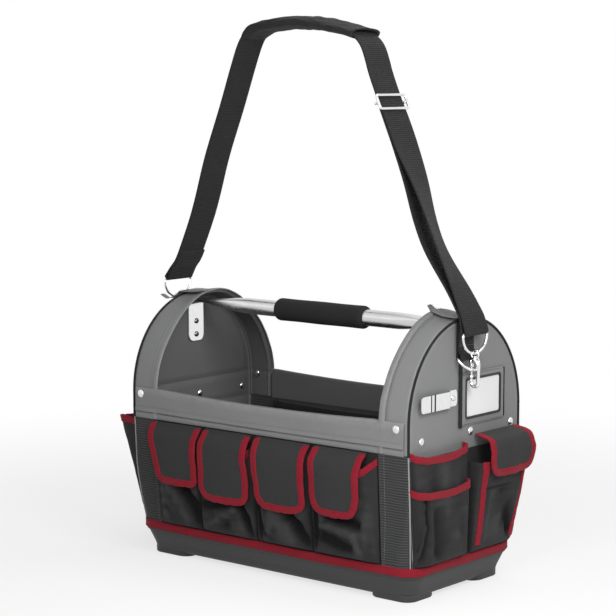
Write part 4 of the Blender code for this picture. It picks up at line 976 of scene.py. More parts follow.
def tub():
    """The moulded tray: rolled bottom edge, a bead under the tape and a rim inside it."""
    inset, low, corner = ROLL_SEAT
    rolled = [(inset + ROLL * (1 - sin(turn)), low + ROLL * (1 - cos(turn)), corner)
              for turn in arc(8, 0, pi / 2)[1:-1]]
    levels = [*mm(*TUB_UNDER), *rolled, *mm(*TUB_SIDE)]
    rows = [rounded_ring(HALF_LENGTH - inset, HALF_BASE - inset, radius, z) for inset, z, radius in levels]
    ride(tube("tub_shell", rows, TUB, 35), "base_tub")
    feet = []
    half_x, half_y = FOOT
    reach_x, reach_y = HALF_LENGTH - FOOT_INSET - half_x, HALF_BASE - FOOT_INSET - half_y
    for sx in (-1, 1):
        for sy in (-1, 1):
            middle = Vector((sx * reach_x, sy * reach_y, 0))
            rows = []
            for inset, z in mm(*FOOT_LEVELS):
                ring = rounded_ring(half_x - inset, half_y - inset, FOOT_CORNER - inset, z, 10, 4)
                rows.append([point + middle for point in ring])
            feet.append(tube(f"foot_{sx}_{sy}", rows, TUB))
    join("tub_feet", feet)


def base_tape():
    """Tape over the joint of tub and body, all the way round, with slight waves."""
    fine = rounded_ring(HALF_LENGTH, HALF_BASE, BASE_CORNER, (BINDING_LOW + BINDING_TOP) / 2, 14, 60)
    places = []
    for i, (point, along) in enumerate(zip(fine, directions(fine, loop=True))):
        out = Vector((along.y, -along.x, 0))
        wave = sum(height * sin(i * pace + start) for height, pace, start in TAPE_WAVES)
        proud = TAPE_PROUD + PROUD_WAVE[0] * sin(i * PROUD_WAVE[1])
        places.append((point + out * proud + UP * wave, UP, out))
    half = (BINDING_TOP - BINDING_LOW) / 2 - 0.0004
    sweep("base_tape", places, flat_section(-half, half, 0.0008, 0.0007), RED, "base_binding", loop=True)
    for height in (half - TAPE_SEAM, TAPE_SEAM - half):
        line = [point + up * height + out * 0.0009 for point, up, out in places]
        sew(line + line[:1], thread=RED_THREAD)


# Pockets

OUTWARD = {"front": Vector((0, -1, 0)), "back": Vector((0, 1, 0)), "inside": Vector((0, -1, 0)),
           "left": Vector((-1, 0, 0)), "right": Vector((1, 0, 0))}
WALL_THICK = 0.0025
POCKET_INSET = 0.0006
ACROSS = 56
UPWARD = 48
FLAP_COLUMNS = 45
ON_SKIRT = SKIRT_OUT + GAP
POCKET_SHEET, FLAP_SHEET = 0.0011, 0.0013

# Width and half thickness of the tape along mouths, down open edges and round flaps
MOUTH_TAPE = (0.0085, 0.0013)
EDGE_TAPE = (0.0084, 0.0013)
FLAP_TAPE = (0.0086, 0.0015)

# Folds in millimetres: start, end, width and height
FRONT_FOLDS = (
    ((-179, 115, -176, 60, 6, -3), (-138, 108, -113, 78, 9, -13), (-113, 78, -110, 50, 8, -12),
     (-160, 108, -128, 58, 9, 3.4), (-168, 75, -150, 52, 6, -3)),
    ((-99, 56, -72, 70, 6, 3.6), (-72, 70, -45, 87, 5, 4), (-100, 86, -64, 94, 9, -8),
     (-62, 64, -48, 50, 8, -6), (-40, 104, -27, 77, 7, -12), (-27, 77, -17, 50, 7, -12)),
    ((-6, 98, -2, 52, 6, -9), (22, 100, 10, 60, 7, 3.6), (40, 104, 60, 79, 8, -13),
     (60, 79, 79, 54, 9, -13), (6, 62, 20, 54, 5, -6), (26, 82, 52, 56, 8, 3.6)),
    ((103, 87, 115, 89, 5, 3), (115, 89, 150, 81, 6, 3.6), (150, 81, 163, 55, 5, 3.4),
     (100, 74, 142, 63, 10, -9), (112, 104, 158, 96, 8, -8), (90, 104, 86, 52, 8, -11)),
)
INNER_FOLDS = ((-100, 160, -40, 90, 12, -4), (30, 170, 100, 100, 12, -4))
UPPER_FOLDS = ((-73, 186, -74, 142, 6, -6), (-58, 186, -60, 142, 5, 1.4))
LOWER_FOLDS = ((-102, 132, -99, 99, 6, -7), (-99, 99, -104, 56, 6, -7), (-66, 132, -40, 80, 9, 2.4),
               (-82, 118, -76, 56, 8, -3.6))
OPEN_FOLDS = ((-85, 150, -60, 90, 7, -2),)
COVERED_FOLDS = ((10, 131, 110, 129, 1.2, -2), (30, 125, 24, 65, 6, 2), (60, 124, 80, 66, 9, -6),
                 (50, 90, 40, 56, 7, 2.4), (94, 126, 84, 60, 5, 2))
LAST_FLAP_FOLDS = ((92, 149, 117, 168, 4, -1.6), (103, 151, 150, 177, 4, 1.6))

# For each front flap: its two ends at the seam, and how far its lower corners lie along the wall
FLAP_SPANS = ((-0.1960, -0.1050), (-0.0995, -0.0185), (-0.0100, 0.0800), (0.0865, 0.1700))
FLAP_LEANS = ((0.0215, 0.0010), (-0.0010, 0.0055), (0.0085, 0.0005), (0.0030, -0.0055))


def on_wall(side, u, out, z):
    """Places by a wall: a distance along it, one out from its face and a height."""
    u, out, z = np.broadcast_arrays(u, out, z)
    x, y, _ = OUTWARD[side]
    if side == "inside":
        places = (u, half_depth(z) - WALL_THICK - out, z)
    elif y:
        places = (u, y * (half_depth(z) + out), z)
    else:
        radius = corner_radius(z)
        past = np.clip(np.abs(u) - (half_depth(z) - radius), 0, radius)
        roll = radius - np.sqrt(radius ** 2 - past ** 2)
        places = (x * (HALF_LENGTH + out - roll), u, z)
    return np.stack(places, axis=-1)


def pocket_shape(edges, mouth, depth, low_edges, square, gusset, seat, sag, low_drop):
    """Distances along the wall and out from it, and heights, of a pocket's cloth before its folds."""
    turn = pi * (1 - np.arange(ACROSS + 1) / ACROSS)
    across = (np.copysign(np.abs(np.cos(turn)) ** (2 / square), np.cos(turn)) + 1) / 2
    stand = np.abs(np.sin(turn)) ** (2 / square)
    up = np.linspace(0, 1, UPWARD + 1)[:, None]
    top = mouth[0] + (mouth[1] - mouth[0]) * stand - sag * 4 * across * (1 - across) * stand
    z = POCKET_LOW + (top - POCKET_LOW) * up
    share = share_between(z, POCKET_LOW, mouth[0])
    a, b = (low + (high - low) * share for low, high in zip(low_edges, edges))
    full = depth[0] + (depth[1] - depth[0]) * share
    round_low = (1 - (1 - np.minimum((z - POCKET_LOW) / low_drop, 1)) ** 2.2) ** (1 / 2.2)
    u = a + (b - a - gusset * stand * share) * across
    return u, seat + full * stand * round_low, z, stand, up


def pocket_cloth(name, side, edges, mouth, depth, low_edges=None, folds=(), seed=1, square=4.5, gusset=0.0,
                 seat=0.0004, sag=0.0015, finish=BLACK, low_drop=0.012, waves_of=0.0010, tape=RED, bound=(),
                 taped=(0, None)):
    """A sewn pocket: cloth that leaves the wall at both seams and at the bottom, open at the top.

    mouth holds the heights at the wall and at the front, and depth the low and the top depth.
    """
    u, out, z, stand, up = pocket_shape(edges, mouth, depth, low_edges or edges, square, gusset, seat, sag,
                                        low_drop)
    lift = waves_of * ripples(np.stack([u, out * 0, z * 0.8], axis=2), 0.055, seed)
    lift = lift + waves_of * 0.5 * ripples(np.stack([u, out * 0, z * 2.2], axis=2), 0.03, seed + 50)
    lift = lift + creases(u, z, folds, 0.72)
    lift = lift * stand ** 1.5 * np.clip(up * 6, 0, 1) * np.clip((1.02 - up) * 8, 0, 1)
    points = on_wall(side, u, np.clip(out + lift, seat + 0.0008 * stand, seat + depth[1] + 0.0018), z)
    middle = on_wall(side, (edges[0] + edges[1]) / 2, 0.004, (POCKET_LOW + mouth[1]) / 2)
    # The cloth's tone follows its folds: painted shade in their hollows, paler where the cloth stands up
    cloth(name, points, finish, POCKET_SHEET, middle, name.replace("_cloth", ""), lining=INSIDE,
          wear=np.clip(lift / 0.0036, -1, 0.5))
    rim = [Vector(point) for point in points[-1]]
    down = [(Vector(low) - point).normalized() for low, point in zip(points[-3], rim)]
    away = [along.cross(way) for along, way in zip(directions(rim), down)]
    held = slice(*taped)
    bind_edge(f"{name}_tape", rim[held], down[held], away[held], *MOUTH_TAPE, tape, seed=seed)
    for column, inward in bound:
        edge = points[4:, column]
        away = [normal_at(points[::-1], UPWARD - r, column) for r in range(4, UPWARD + 1)]
        bind_edge(f"{name}_edge_{column}", evened(edge, 4), evened(points[4:, column + inward] - edge, 8),
                  evened(away, 8), *EDGE_TAPE, seed=seed)
    for column in (0, -1):
        sew(points[:, column], OUTWARD[side] * 0.0004, thread=DARK_THREAD)


def flap_shape(edges, top, bottom, seat, shoulder, depth, drops, lean, corner):
    """Distances along the wall and out from it, and heights, of a cover that turns over a mouth."""
    shoulder_drop, bend_drop = drops
    guide = [(seat, top), (seat + (shoulder - seat) * 0.42, top - shoulder_drop * 0.30),
             (shoulder, top - shoulder_drop), (depth, top - bend_drop),
             (depth + 0.0004, top - bend_drop - 0.010), (depth - 0.0004, (top - bend_drop + bottom) / 2),
             (depth - seat * 0.8, bottom)]
    fine = smooth_line(guide, 400)
    run = running(fine[:, None, :])
    turns = np.linspace(0, pi / 2, 12)[1:]
    heights = np.concatenate([np.linspace(0, run[-1] - corner, 38), run[-1] - corner * (1 - np.sin(turns))])
    inset = np.concatenate([np.zeros(38), corner * (1 - np.cos(turns))])[:, None]
    out, z = (np.interp(heights, run, column)[:, None] for column in fine.T)
    part = np.linspace(0, 1, FLAP_COLUMNS)
    bulge = 1 - (2 * part - 1) ** 2
    share = (heights / run[-1])[:, None]
    low = edges[0] + 0.0011 + lean[0] * share + inset
    high = edges[1] - 0.0011 + lean[1] * share - inset
    out = out + 0.0015 * bulge * np.clip(share * 2.2, 0, 1)
    return low + (high - low) * part, out, z - 0.0008 * bulge * share + 0.0011, share


def flap_cloth(name, side, edges, top, bottom, seat, shoulder, depth, drops, body, seed, corner, lean,
               folds=()):
    """A cover that turns over a pocket's mouth and hangs down, bound on its sides and along its bottom."""
    u, out, z, share = flap_shape(edges, top, bottom, seat, shoulder, depth, drops, lean, corner)
    lift = 0.0011 * ripples(np.stack([u, out * 0, z], axis=2), 0.07, seed) + creases(u, z, folds)
    points = on_wall(side, u, out + lift * np.clip(share * 4 - 0.8, 0, 1), z)
    across = (edges[0] + edges[1]) / 2
    seam, bend = on_wall(side, across, (seat, depth), (top, top - drops[1]))
    SEAM_BENDS[body] = (Vector(seam), Vector(bend))
    cloth(name, points, FLAP_CLOTH, FLAP_SHEET, on_wall(side, across, -0.01, bottom),
          name.replace("_cloth", ""), lining=INSIDE, offset=0.0, body=body)
    last = len(points) - 1
    places = [(r, 0) for r in range(2, last)] + [(last, c) for c in range(FLAP_COLUMNS)]
    places += [(r, FLAP_COLUMNS - 1) for r in range(last - 1, 1, -1)]
    edge = [Vector(points[place]) for place in places]
    inward, turned = [], []
    for (r, _), point, along in zip(places, edge, directions(edge)):
        away = normal_at(points, min(r, last - 8), FLAP_COLUMNS // 2)
        into = along.cross(away).normalized()
        if into.dot(Vector(points[last // 2, FLAP_COLUMNS // 2]) - point) < 0:
            into = -into
        gaps = np.linalg.norm(points - np.array(point + into * 0.0075), axis=2)
        near = Vector(points.reshape(-1, 3)[np.argmin(gaps)]) - point
        tilt = np.clip(near.dot(away) / max(near.dot(into), 0.004), -0.5, 0.5)
        inward.append((into + away * tilt).normalized())
        turned.append((away - into * tilt).normalized())
    bind_edge(f"{name}_tape", edge, evened(inward, 3), evened(turned, 3), *FLAP_TAPE, body=body, seed=seed)
    sew(points[2][2:-2], OUTWARD[side] * 0.0008, body, DARK_THREAD)


def normal_at(points, r, c):
    """The outward normal of a grid of points at one place."""
    rows, columns = points.shape[:2]
    down = Vector(points[min(r + 1, rows - 1), c] - points[max(r - 1, 0), c])
    along = Vector(points[r, min(c + 1, columns - 1)] - points[r, max(c - 1, 0)])
    return down.cross(along).normalized()


def front_pockets():
    for number, (folds, span, lean) in enumerate(zip(FRONT_FOLDS, FLAP_SPANS, FLAP_LEANS), 1):
        low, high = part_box(f"front_pocket_{number}")
        edges = (low.x + POCKET_INSET, high.x - POCKET_INSET)
        last = number == 4
        pocket_cloth(f"front_pocket_cloth_{number}", "front", edges, mouth=(0.182, 0.163),
                     depth=(0.0110, 0.0152), folds=folds, seed=60 + number, gusset=0.020 if last else 0.004,
                     waves_of=0.0018, taped=(0, None) if last else (8, -8))
        low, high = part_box(f"front_flap_{number}")
        flap_cloth(f"front_flap_cloth_{number}", "front", span, high.z - 0.0005, low.z, seat=0.0013,
                   shoulder=0.0158, depth=0.0186, drops=(0.0146, 0.0266), body=f"front_cover_{number}",
                   seed=70 + number, corner=0.010 if number == 1 else 0.019, lean=lean,
                   folds=LAST_FLAP_FOLDS if last else ())


def back_pockets():
    for number in range(1, 4):
        low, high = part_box(f"back_pocket_{number}")
        a, b = low.x * 1000, high.x * 1000
        folds = ((a + 20, 120, a + 60, 70, 7, 2.4), (b - 50, 130, b - 20, 75, 6, -2.4),
                 (a + 50, 60, b - 30, 85, 6, -1.8))
        edges = (low.x + POCKET_INSET, high.x - POCKET_INSET)
        pocket_cloth(f"back_pocket_cloth_{number}", "back", edges, mouth=(0.1757, 0.1755),
                     depth=(0.0105, 0.0215), folds=folds, seed=80 + number, sag=0.003)


def inner_pocket():
    low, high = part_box("inner_pocket")
    pocket_cloth("inner_pocket_cloth", "inside", (low.x, high.x), mouth=(high.z, high.z),
                 depth=(0.0140, 0.0140), folds=INNER_FOLDS, seed=90, sag=0.002, finish=INSIDE, square=7,
                 tape=BLACK_TAPE)


def end_pockets():
    pocket_cloth("right_upper_pocket_cloth", "right", edges=(-0.1172, -0.0075), mouth=(0.1925, 0.1900),
                 depth=(0.0070, 0.0095), low_edges=(-0.1030, -0.0085), folds=UPPER_FOLDS, seed=101, square=6,
                 sag=0.0060, seat=ON_SKIRT)
    pocket_cloth("right_lower_pocket_cloth", "right", edges=(-0.1160, -0.0070), mouth=(0.1468, 0.1452),
                 depth=(0.0118, 0.0140), low_edges=(-0.1020, -0.0085), folds=LOWER_FOLDS, seed=102, square=6,
                 sag=0.0045, seat=ON_SKIRT)
    pocket_cloth("left_open_pocket_cloth", "left", edges=(-0.1120, -0.0164), mouth=(0.1845, 0.1850),
                 depth=(0.0080, 0.0400), low_edges=(-0.0930, -0.0164), folds=OPEN_FOLDS, seed=103, square=6,
                 sag=0.004, seat=ON_SKIRT, low_drop=0.02)
    for _, word in SIDES:
        pocket_cloth(f"{word}_flap_pocket_cloth", word, edges=(0.0044, 0.1120), mouth=(0.1658, 0.1655),
                     depth=(0.0078, 0.0238), low_edges=(0.0044, 0.0930), folds=COVERED_FOLDS, seed=104,
                     square=7, seat=ON_SKIRT, bound=((14, 3), (ACROSS - 14, -3)), taped=(11, -11))
        low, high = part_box(f"{word}_end_flap")
        flap_cloth(f"{word}_end_flap_cloth", word, (low.y + 0.010, high.y - 0.007), high.z + 0.0016, low.z,
                   seat=0.0022, shoulder=0.0262, depth=0.0312, drops=(0.0060, 0.0200),
                   body=f"{word}_cover", seed=110, corner=0.021, lean=(-0.004, 0.006))


# Metal and carrying parts

def fine_wire(name, points, radius, count=90, loop=False, sides=14):
    """Round wire along a smooth line; radius is one number or one for each given point."""
    line = even_line([*points, points[0]], count)[:-1] if loop else smooth_line(points, count)
    line = [Vector(point) for point in line]
    total = len(line)
    radius = np.atleast_1d(radius)
    radii = np.interp(np.linspace(0, 1, total), np.linspace(0, 1, len(radius)), radius)
    ways = directions(line, loop)
    rows = []
    across = ways[0].orthogonal()
    for point, along, wide in zip(line, ways, radii):
        across = (across - along * across.dot(along)).normalized()
        other = along.cross(across)
        rows.append([point + across * x + other * y for x, y in round_section(wide, sides)])
    if loop:
        start = (rows[0][0] - line[0]).normalized()
        last_way = (line[0] - line[-1]).normalized()
        carried = (across - last_way * across.dot(last_way)).normalized()
        slip = atan2(carried.cross(start).dot(last_way), carried.dot(start))
        for i, (point, along) in enumerate(zip(line, ways)):
            turn = Matrix.Rotation(slip * i / total, 3, along)
            rows[i] = [point + turn @ (q - point) for q in rows[i]]
    return tube(name, rows, CHROME, ring=loop)


def turned(name, profile, base, axis, finish=CHROME, sharp=50, steps=32):
    """A turned piece: radii and heights in millimetres along an axis from a base point."""
    axis = Vector(axis).normalized()
    one = axis.orthogonal().normalized()
    two = axis.cross(one)
    rows = [[Vector(base) + axis * height + (one * cos(t) + two * sin(t)) * max(radius, 0.00002)
             for t in circle(steps)] for radius, height in mm(*profile)]
    return tube(name, rows, finish, sharp)


# Handle

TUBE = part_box("handle_tube")
TUBE_RADIUS = (TUBE[1].z - TUBE[0].z) / 2
TUBE_HEIGHT = (TUBE[1].z + TUBE[0].z) / 2
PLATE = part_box("handle_plate_right")
PLATE_HALF = PLATE[1].y
PLATE_MIDDLE = (PLATE[0].x + PLATE[1].x) / 2
PLATE_HALF_SHEET = (PLATE[1].x - PLATE[0].x) / 2 - 0.0001
FLAT_FROM, FLAT_TO = 0.122, 0.214
PLATE_BEND = 0.009
PLATE_RISE = 0.0022
PLATE_ROUND = 0.010
PLATE_TIP = 0.55
GRIP_SHOULDER = (0.0060, 0.0046)

# Share of the screw's radius, and height in millimetres
SCREW = ((0, -0.2), (1, -0.2), (1, 0.5), (0.93, 1.2), (0.75, 1.8), (0.52, 2.1), (0.46, 2.1), (0.42, 0.6),
         (0, 0.4))

# The socket in a screw, painted black as shade: share of its radius, and how far out it reaches
SOCKET_SHADE = (0.44, 0.0019)


def half_handle():
    """Places from the tube's middle to a plate's end: x, z, the turn down, flatness and width."""
    level = TUBE_HEIGHT + PLATE_RISE
    low = PLATE[0].z
    places = [(x, TUBE_HEIGHT, 0, 0, 1) for x in np.linspace(0, FLAT_FROM, 24)]
    for x in np.linspace(FLAT_FROM, PLATE_MIDDLE - PLATE_BEND, 22)[1:]:
        share = share_between(x, FLAT_FROM, FLAT_TO)
        share = share * share * (3 - 2 * share)
        places.append((x, TUBE_HEIGHT + PLATE_RISE * share, 0, share, 1))
    for turn in np.linspace(0, pi / 2, 10)[1:]:
        places.append((PLATE_MIDDLE + PLATE_BEND * (sin(turn) - 1), level + PLATE_BEND * (cos(turn) - 1),
                       turn, 1, 1))
    for z in np.linspace(level - PLATE_BEND, low + PLATE_ROUND, 12)[1:]:
        places.append((PLATE_MIDDLE, z, pi / 2, 1, 1))
    for turn in np.linspace(0, pi / 2, 9)[1:]:
        places.append((PLATE_MIDDLE, low + PLATE_ROUND * (1 - sin(turn)), pi / 2, 1,
                       PLATE_TIP + (1 - PLATE_TIP) * max(cos(turn), 0.01)))
    return places


def handle_ring(side, x, z, turn, flat, narrow):
    wide = (TUBE_RADIUS + (PLATE_HALF - TUBE_RADIUS) * flat) * narrow
    thick = TUBE_RADIUS + (PLATE_HALF_SHEET - TUBE_RADIUS) * flat
    power = 2 / (2 + 6 * flat)
    ring = []
    for t in circle(36):
        n = thick * squared(sin(t), power)
        ring.append(Vector((side * (x + n * sin(turn)), wide * squared(cos(t), power), z + n * cos(turn))))
    return ring


def handle_bar():
    """One steel tube, pressed flat at both ends, where it turns down the end panels."""
    left, right = ([handle_ring(side, *place) for place in half_handle()] for side in (-1, 1))
    item = tube("handle_bar", left[::-1] + right[1:], [STEEL, CHROME])
    for face in item.data.polygons:
        if abs(face.center.x) > PLATE_MIDDLE - PLATE_BEND * 0.5:
            face.material_index = 1
    ride(item, "handle_tube", "handle_plate_left", "handle_plate_right")
    for side, word in SIDES:
        for number in (1, 2):
            plate_screw(side, f"{word}_{number}")


def plate_screw(side, word):
    low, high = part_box(f"plate_screw_{word}")
    base = (low + high) / 2
    base.x = side * (PLATE_MIDDLE - PLATE_HALF_SHEET - 0.0001)
    radius = (high.z - low.z) / 2
    profile = [(radius * 1000 * share, height) for share, height in SCREW]
    item = turned(f"screw_{word}", profile, base, (-side, 0, 0), SCREW_METAL, 35)
    # Black plastic in the socket is painted shade
    item.data.materials.append(BLACK_PLASTIC_AND_SHADE)
    for face in item.data.polygons:
        x, y, z = face.center - base
        face.material_index = int(hypot(y, z) < radius * SOCKET_SHADE[0] and abs(x) < SOCKET_SHADE[1])
    ride(item, f"plate_screw_{word}")


def grip():
    """Foam sleeve with soft shoulders."""
    low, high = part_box("handle_grip")
    radius = (high.z - low.z) / 2
    half = high.x
    long, deep = GRIP_SHOULDER
    bore = TUBE_RADIUS + 0.0002
    profile = [(bore, -half + 0.001), (bore + 0.0006, -half)]
    profile += [(radius - deep + deep * sin(t), -half + long * (1 - cos(t))) for t in arc(8, 0, pi / 2)]
    profile += [(radius - 0.0003 * sin(3 * x / half) ** 2, x) for x in np.linspace(-half + 0.010, 0, 14)]
    profile += [(r, -x) for r, x in reversed(profile[:-1])]
    rows = [[Vector((x, r * cos(t), TUBE_HEIGHT + r * sin(t))) for t in circle(48)] for r, x in profile]
    ride(tube("foam_grip", rows, FOAM, 60, ring=True), "handle_grip")


# Fittings on the right end

# Share of the way out to the patch's edge, corner radius and height off the panel, in millimetres
PATCH = ((1, 2, 0), (1, 2, 0.6), (0.985, 2, 1.0), (0.9, 2, 1.3), (0.8, 2, 1.2), (0.5, 3, 2.2), (0.2, 3, 2.4),
         (0.04, 3, 2.4), (0, 3, 2.1), (0, 3, 1.9), (0.5, 3, 1.9), (0.9, 2, 0.2))

# Width round the window, corner radius and height off the panel, in millimetres
RIM = ((2.6, 4, 2.3), (2.6, 4, 2.9), (2.2, 3.5, 3.3), (0.4, 3, 3.3), (-0.4, 3, 2.8), (-0.6, 3, 2.0),
       (1.0, 3, 1.9))

# The window shows the card but for a narrow edge
CARD_EDGE = 0.0037
PATCH_SEAT = 0.0004

# The pocket's cloth rises where the card slides out: how far below and above the card, and how high
SLIDE_LOW, SLIDE_HIGH, SLIDE_LIFT = 0.0055, 0.0045, 0.0019

# Place along the clip and height off its foot, in millimetres
CLIP_STAND = 5.2
CLIP_LINE = ((-37, 0), (-42.5, CLIP_STAND - 0.5), (-48, CLIP_STAND), (-64, CLIP_STAND), (-72.5, CLIP_STAND),
             (-74.5, CLIP_STAND - 2), (-76.5, CLIP_STAND), (-80, CLIP_STAND), (-82, CLIP_STAND - 2),
             (-84, CLIP_STAND), (-92, CLIP_STAND))
CLIP_CORNER = 0.004
CLIP_LENGTH = 0.078
# Places of the clip's two pressed grooves, painted black as shade
CLIP_GROOVE_SHADE = (0.0746, 0.0822)
CLIP_SHEET, CLIP_EDGE = 0.0011, 0.00025


def card_pocket():
    """A stitched grey patch with a window, a black rim round it and black tape down its front edge."""
    low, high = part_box("card_holder")
    card_low, card_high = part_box("card")
    base = HALF_LENGTH + PATCH_SEAT
    outward = np.array([-1, 1, -1, 1])
    window = np.array([card_low.y, card_high.y, card_low.z, card_high.z]) - CARD_EDGE * outward
    reach = np.array([low.y, high.y, low.z, high.z]) - window

    def level(grow, radius, rise):
        y0, y1, z0, z1 = window + grow
        flat = rounded_ring((y1 - y0) / 2, (z1 - z0) / 2, radius, 0, 6, 10)
        return [Vector((base + rise, (y0 + y1) / 2 + p.x, (z0 + z1) / 2 + p.y)) for p in flat]

    patch = [level(reach * share, radius / 1000, rise / 1000) for share, radius, rise in PATCH]
    for point in sum(patch, []):
        if point.y > window[1] + 0.001 and card_low.z - SLIDE_LOW < point.z < card_high.z + SLIDE_HIGH:
            point.x = max(point.x, base + SLIDE_LIFT)
    ride(tube("card_patch", patch, GREY, 40, ring=True), "card_holder", slot="black_plastic")
    rim = [level(grow * outward, radius, rise) for grow, radius, rise in mm(*RIM)]
    ride(tube("window_rim", rim, BLACK_PLASTIC_AND_SHADE, 40, ring=True))
    front, back = low.y + 0.006, high.y - 0.001
    for inset in (0.0020, 0.0050):
        sew([(base + 0.0014, y, z) for y, z in ((back, low.z + inset), (front, low.z + inset),
                                                (front, high.z - inset), (back, high.z - inset))],
            thread=DARK_THREAD)
    edge = [(base + 0.0010, low.y + 0.0008, z) for z in np.linspace(low.z - 0.001, high.z + 0.0165, 40)]
    bind_edge("card_patch_edge", edge, (0, 1, 0), (1, 0, 0), 0.0052, 0.0012, BLACK_TAPE, wander=0.0001,
              seed=5)


def clip():
    """Sprung steel strip on a riveted foot, with two pressed ribs near its free end."""
    low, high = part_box("tape_clip")
    seat = low.x + 0.0006
    tip = (low.y - 0.005, seat + CLIP_STAND / 1000 + 0.0008)
    line = smooth_line([(high.y, seat), *(mm(*CLIP_LINE) + [0, seat]), tip], 130)
    rows = []
    for i, (y, x) in enumerate(line):
        gap = min(len(line) - 1 - i, i) / len(line) * CLIP_LENGTH
        inset = CLIP_CORNER - sqrt(max(CLIP_CORNER ** 2 - max(CLIP_CORNER - gap, 0) ** 2, 0))
        rows.append([(x, y, z) for z in np.linspace(low.z + inset, high.z - inset, 9)])
    item = grid("clip_strip", rows, CHROME)
    face_out(item, (0, -0.06, low.z))
    modifier(item, "SOLIDIFY", thickness=CLIP_SHEET, offset=0.0)
    modifier(item, "BEVEL", width=CLIP_EDGE, segments=2, limit_method="ANGLE", angle_limit=radians(50))
    worked_in(item, 40)
    # Black in the pressed grooves is painted shade
    item.data.materials.append(BLACK_PLASTIC_AND_SHADE)
    for face in item.data.polygons:
        face.material_index = int(min(abs(face.center.y + middle) for middle in CLIP_GROOVE_SHADE) < 0.0014)
    ride(item, "tape_clip")
    rivets("clip_rivet_head", [((seat + 0.0006, -0.0295, (low.z + high.z) / 2), (1, 0, 0))], 0.0036, 0.0020)


# Rings and hooks

RING_BAR = Vector((HALF_LENGTH + 0.0042, STRAP_Y, 0.300))
RING_WIRE = 0.0017
RING_HALF = 0.0195
STRAP_RING_WIRE = 0.00175
STRAP_RING_HALF = 0.026
TILTS = {"left": radians(100), "right": radians(40)}
LOOP_SHEET = 0.0016
LOOP_SEAMS = (0.004, 0.030)
STRAP_SEAM_INSET = 0.003
HOOK_DROPS = {"left": GAP, "right": 0.0172}
RING_RISE = 0.0396

# Millimetres out from the middle of the hook and up from its foot
HOOK_HALF = 5
HOOK_TOP = ((-4.7, 29), (-2, 29.2), (1.5, 28.8), (4.2, 27.2), (5, 24), (5.1, 16), (5, 8))
HOOK_TOP_RADII = (2.7, 3.1, 3.1, 3.0, 2.8, 2.6, 2.5)

# Radii and heights of the turned parts, in millimetres
BARREL = ((1.8, 22.2), (2.8, 22), (3.1, 22.4), (3.1, 30.4), (2.8, 31.1), (1.8, 31.3), (1.2, 31.3))
STEM = ((2.2, 28.5), (3, 30), (2.4, 31.2), (1.5, 31.8), (1.5, 34.8), (2.4, 35), (2.5, 35.6), (1.8, 36.3),
        (0.6, 36.5))
BOLT = ((1.2, 26.2), (1.4, 25.8), (1.4, 12.6), (2.2, 12.4), (2.6, 11.7), (2.6, 11.3), (2.2, 11), (2.6, 10.6),
        (2.6, 10), (2.2, 9.7), (2.5, 9.3), (2.2, 8.8), (1.4, 8.5), (0.8, 8.4))
COLLAR = ((1.9, 32), (3, 31.9), (3.4, 32.3), (3.4, 34.1), (3, 34.5), (1.9, 34.4), (1.8, 33.2))
EYE_HALF, EYE_MIDDLE = 5.4, 38
EYE_FOOT = ((2.8, 33.6), (4.3, 35.6))


def d_outline(half, steps=40):
    """A D in the plane across the strap: a straight bar with round corners, then a half circle."""
    corner = half * 0.12
    straight = half - corner * 1.6
    points = [(y, 0.0) for y in np.linspace(straight, -straight, 16)]
    points += [(-half + corner * 0.45, -corner * 0.30)]
    points += [(-half * cos(turn), -corner - (half - corner) * sin(turn)) for turn in arc(steps)]
    return points + [(half - corner * 0.45, -corner * 0.30)]


def ribbon(name, line, half, thickness, node, twist=(0, 0), ribs=0.0028, depth=0.00014, body="bag"):
    """Webbing along a line, its width along Y but for its twist, with raised ribs across it."""
    length = running(line[:, None, :])[-1]
    line = even_line(line, max(int(length / (ribs / 5)), 8))
    section = flat_section(-half, half, thickness / 2, thickness * 0.42)
    quarter = len(section) // 4
    middle = [(x, thickness / 2) for x in np.linspace(half * 0.86, -half * 0.86, 7)]
    section = (section[:quarter] + middle + section[quarter:3 * quarter] + [(-x, -y) for x, y in middle]
               + section[3 * quarter:])
    run = np.linspace(0, length, len(line))
    turns = np.interp(run / length, np.linspace(0, 1, len(twist)), twist)
    rows = []
    for place, (point, a, b), turn in zip(run, line_frames(line, (0, 1, 0)), turns):
        c, s = cos(turn), sin(turn)
        a, b = a * c - b * s, b * c + a * s
        rib = depth * sin(2 * pi * place / ribs)
        rows.append([point + b * x + a * (y + copysign(rib, y)) for x, y in section])
    ride(tube(name, rows, WEBBING, 60), node, body=body)


def webbing_loop(side, word):
    """A webbing tab sewn down the end, turned round the D ring's bar and back up under itself."""
    low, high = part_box(f"strap_loop_{word}")
    turn_radius = RING_WIRE + 0.0005 + LOOP_SHEET / 2
    near = HALF_LENGTH + GAP + LOOP_SHEET / 2
    meet = near + LOOP_SHEET + GAP
    outer, bar, top = RING_BAR.x + turn_radius, RING_BAR.z, high.z
    line = [(near, top), (near, top - 0.012), (near, top - 0.025), (near, bar + turn_radius)]
    line += [(RING_BAR.x + turn_radius * cos(t), bar + turn_radius * sin(t)) for t in arc(8, pi, 2 * pi)]
    line += [(outer, bar + turn_radius), (meet + 0.001, bar + 2.6 * turn_radius),
             (meet, bar + 4 * turn_radius), (meet, top - 0.016), (meet, top - 0.0016)]
    fine = smooth_line([(side * x, STRAP_Y, z) for x, z in line], 170)
    half = (high.y - low.y) / 2
    ribbon(f"webbing_loop_{word}", fine, half, LOOP_SHEET, f"strap_loop_{word}", depth=0.00012)
    face = side * (meet + LOOP_SHEET / 2 + 0.0002)
    upper, lower = top - LOOP_SEAMS[0], top - LOOP_SEAMS[1]
    reach = half - STRAP_SEAM_INSET
    for y0, z0, y1, z1 in ((-1, upper, 1, upper), (-1, lower, 1, lower), (-1, upper, 1, lower),
                           (1, upper, -1, lower), (-1, upper, -1, lower), (1, upper, 1, lower)):
        sew(np.linspace((face, STRAP_Y + y0 * reach, z0), (face, STRAP_Y + y1 * reach, z1), 14))


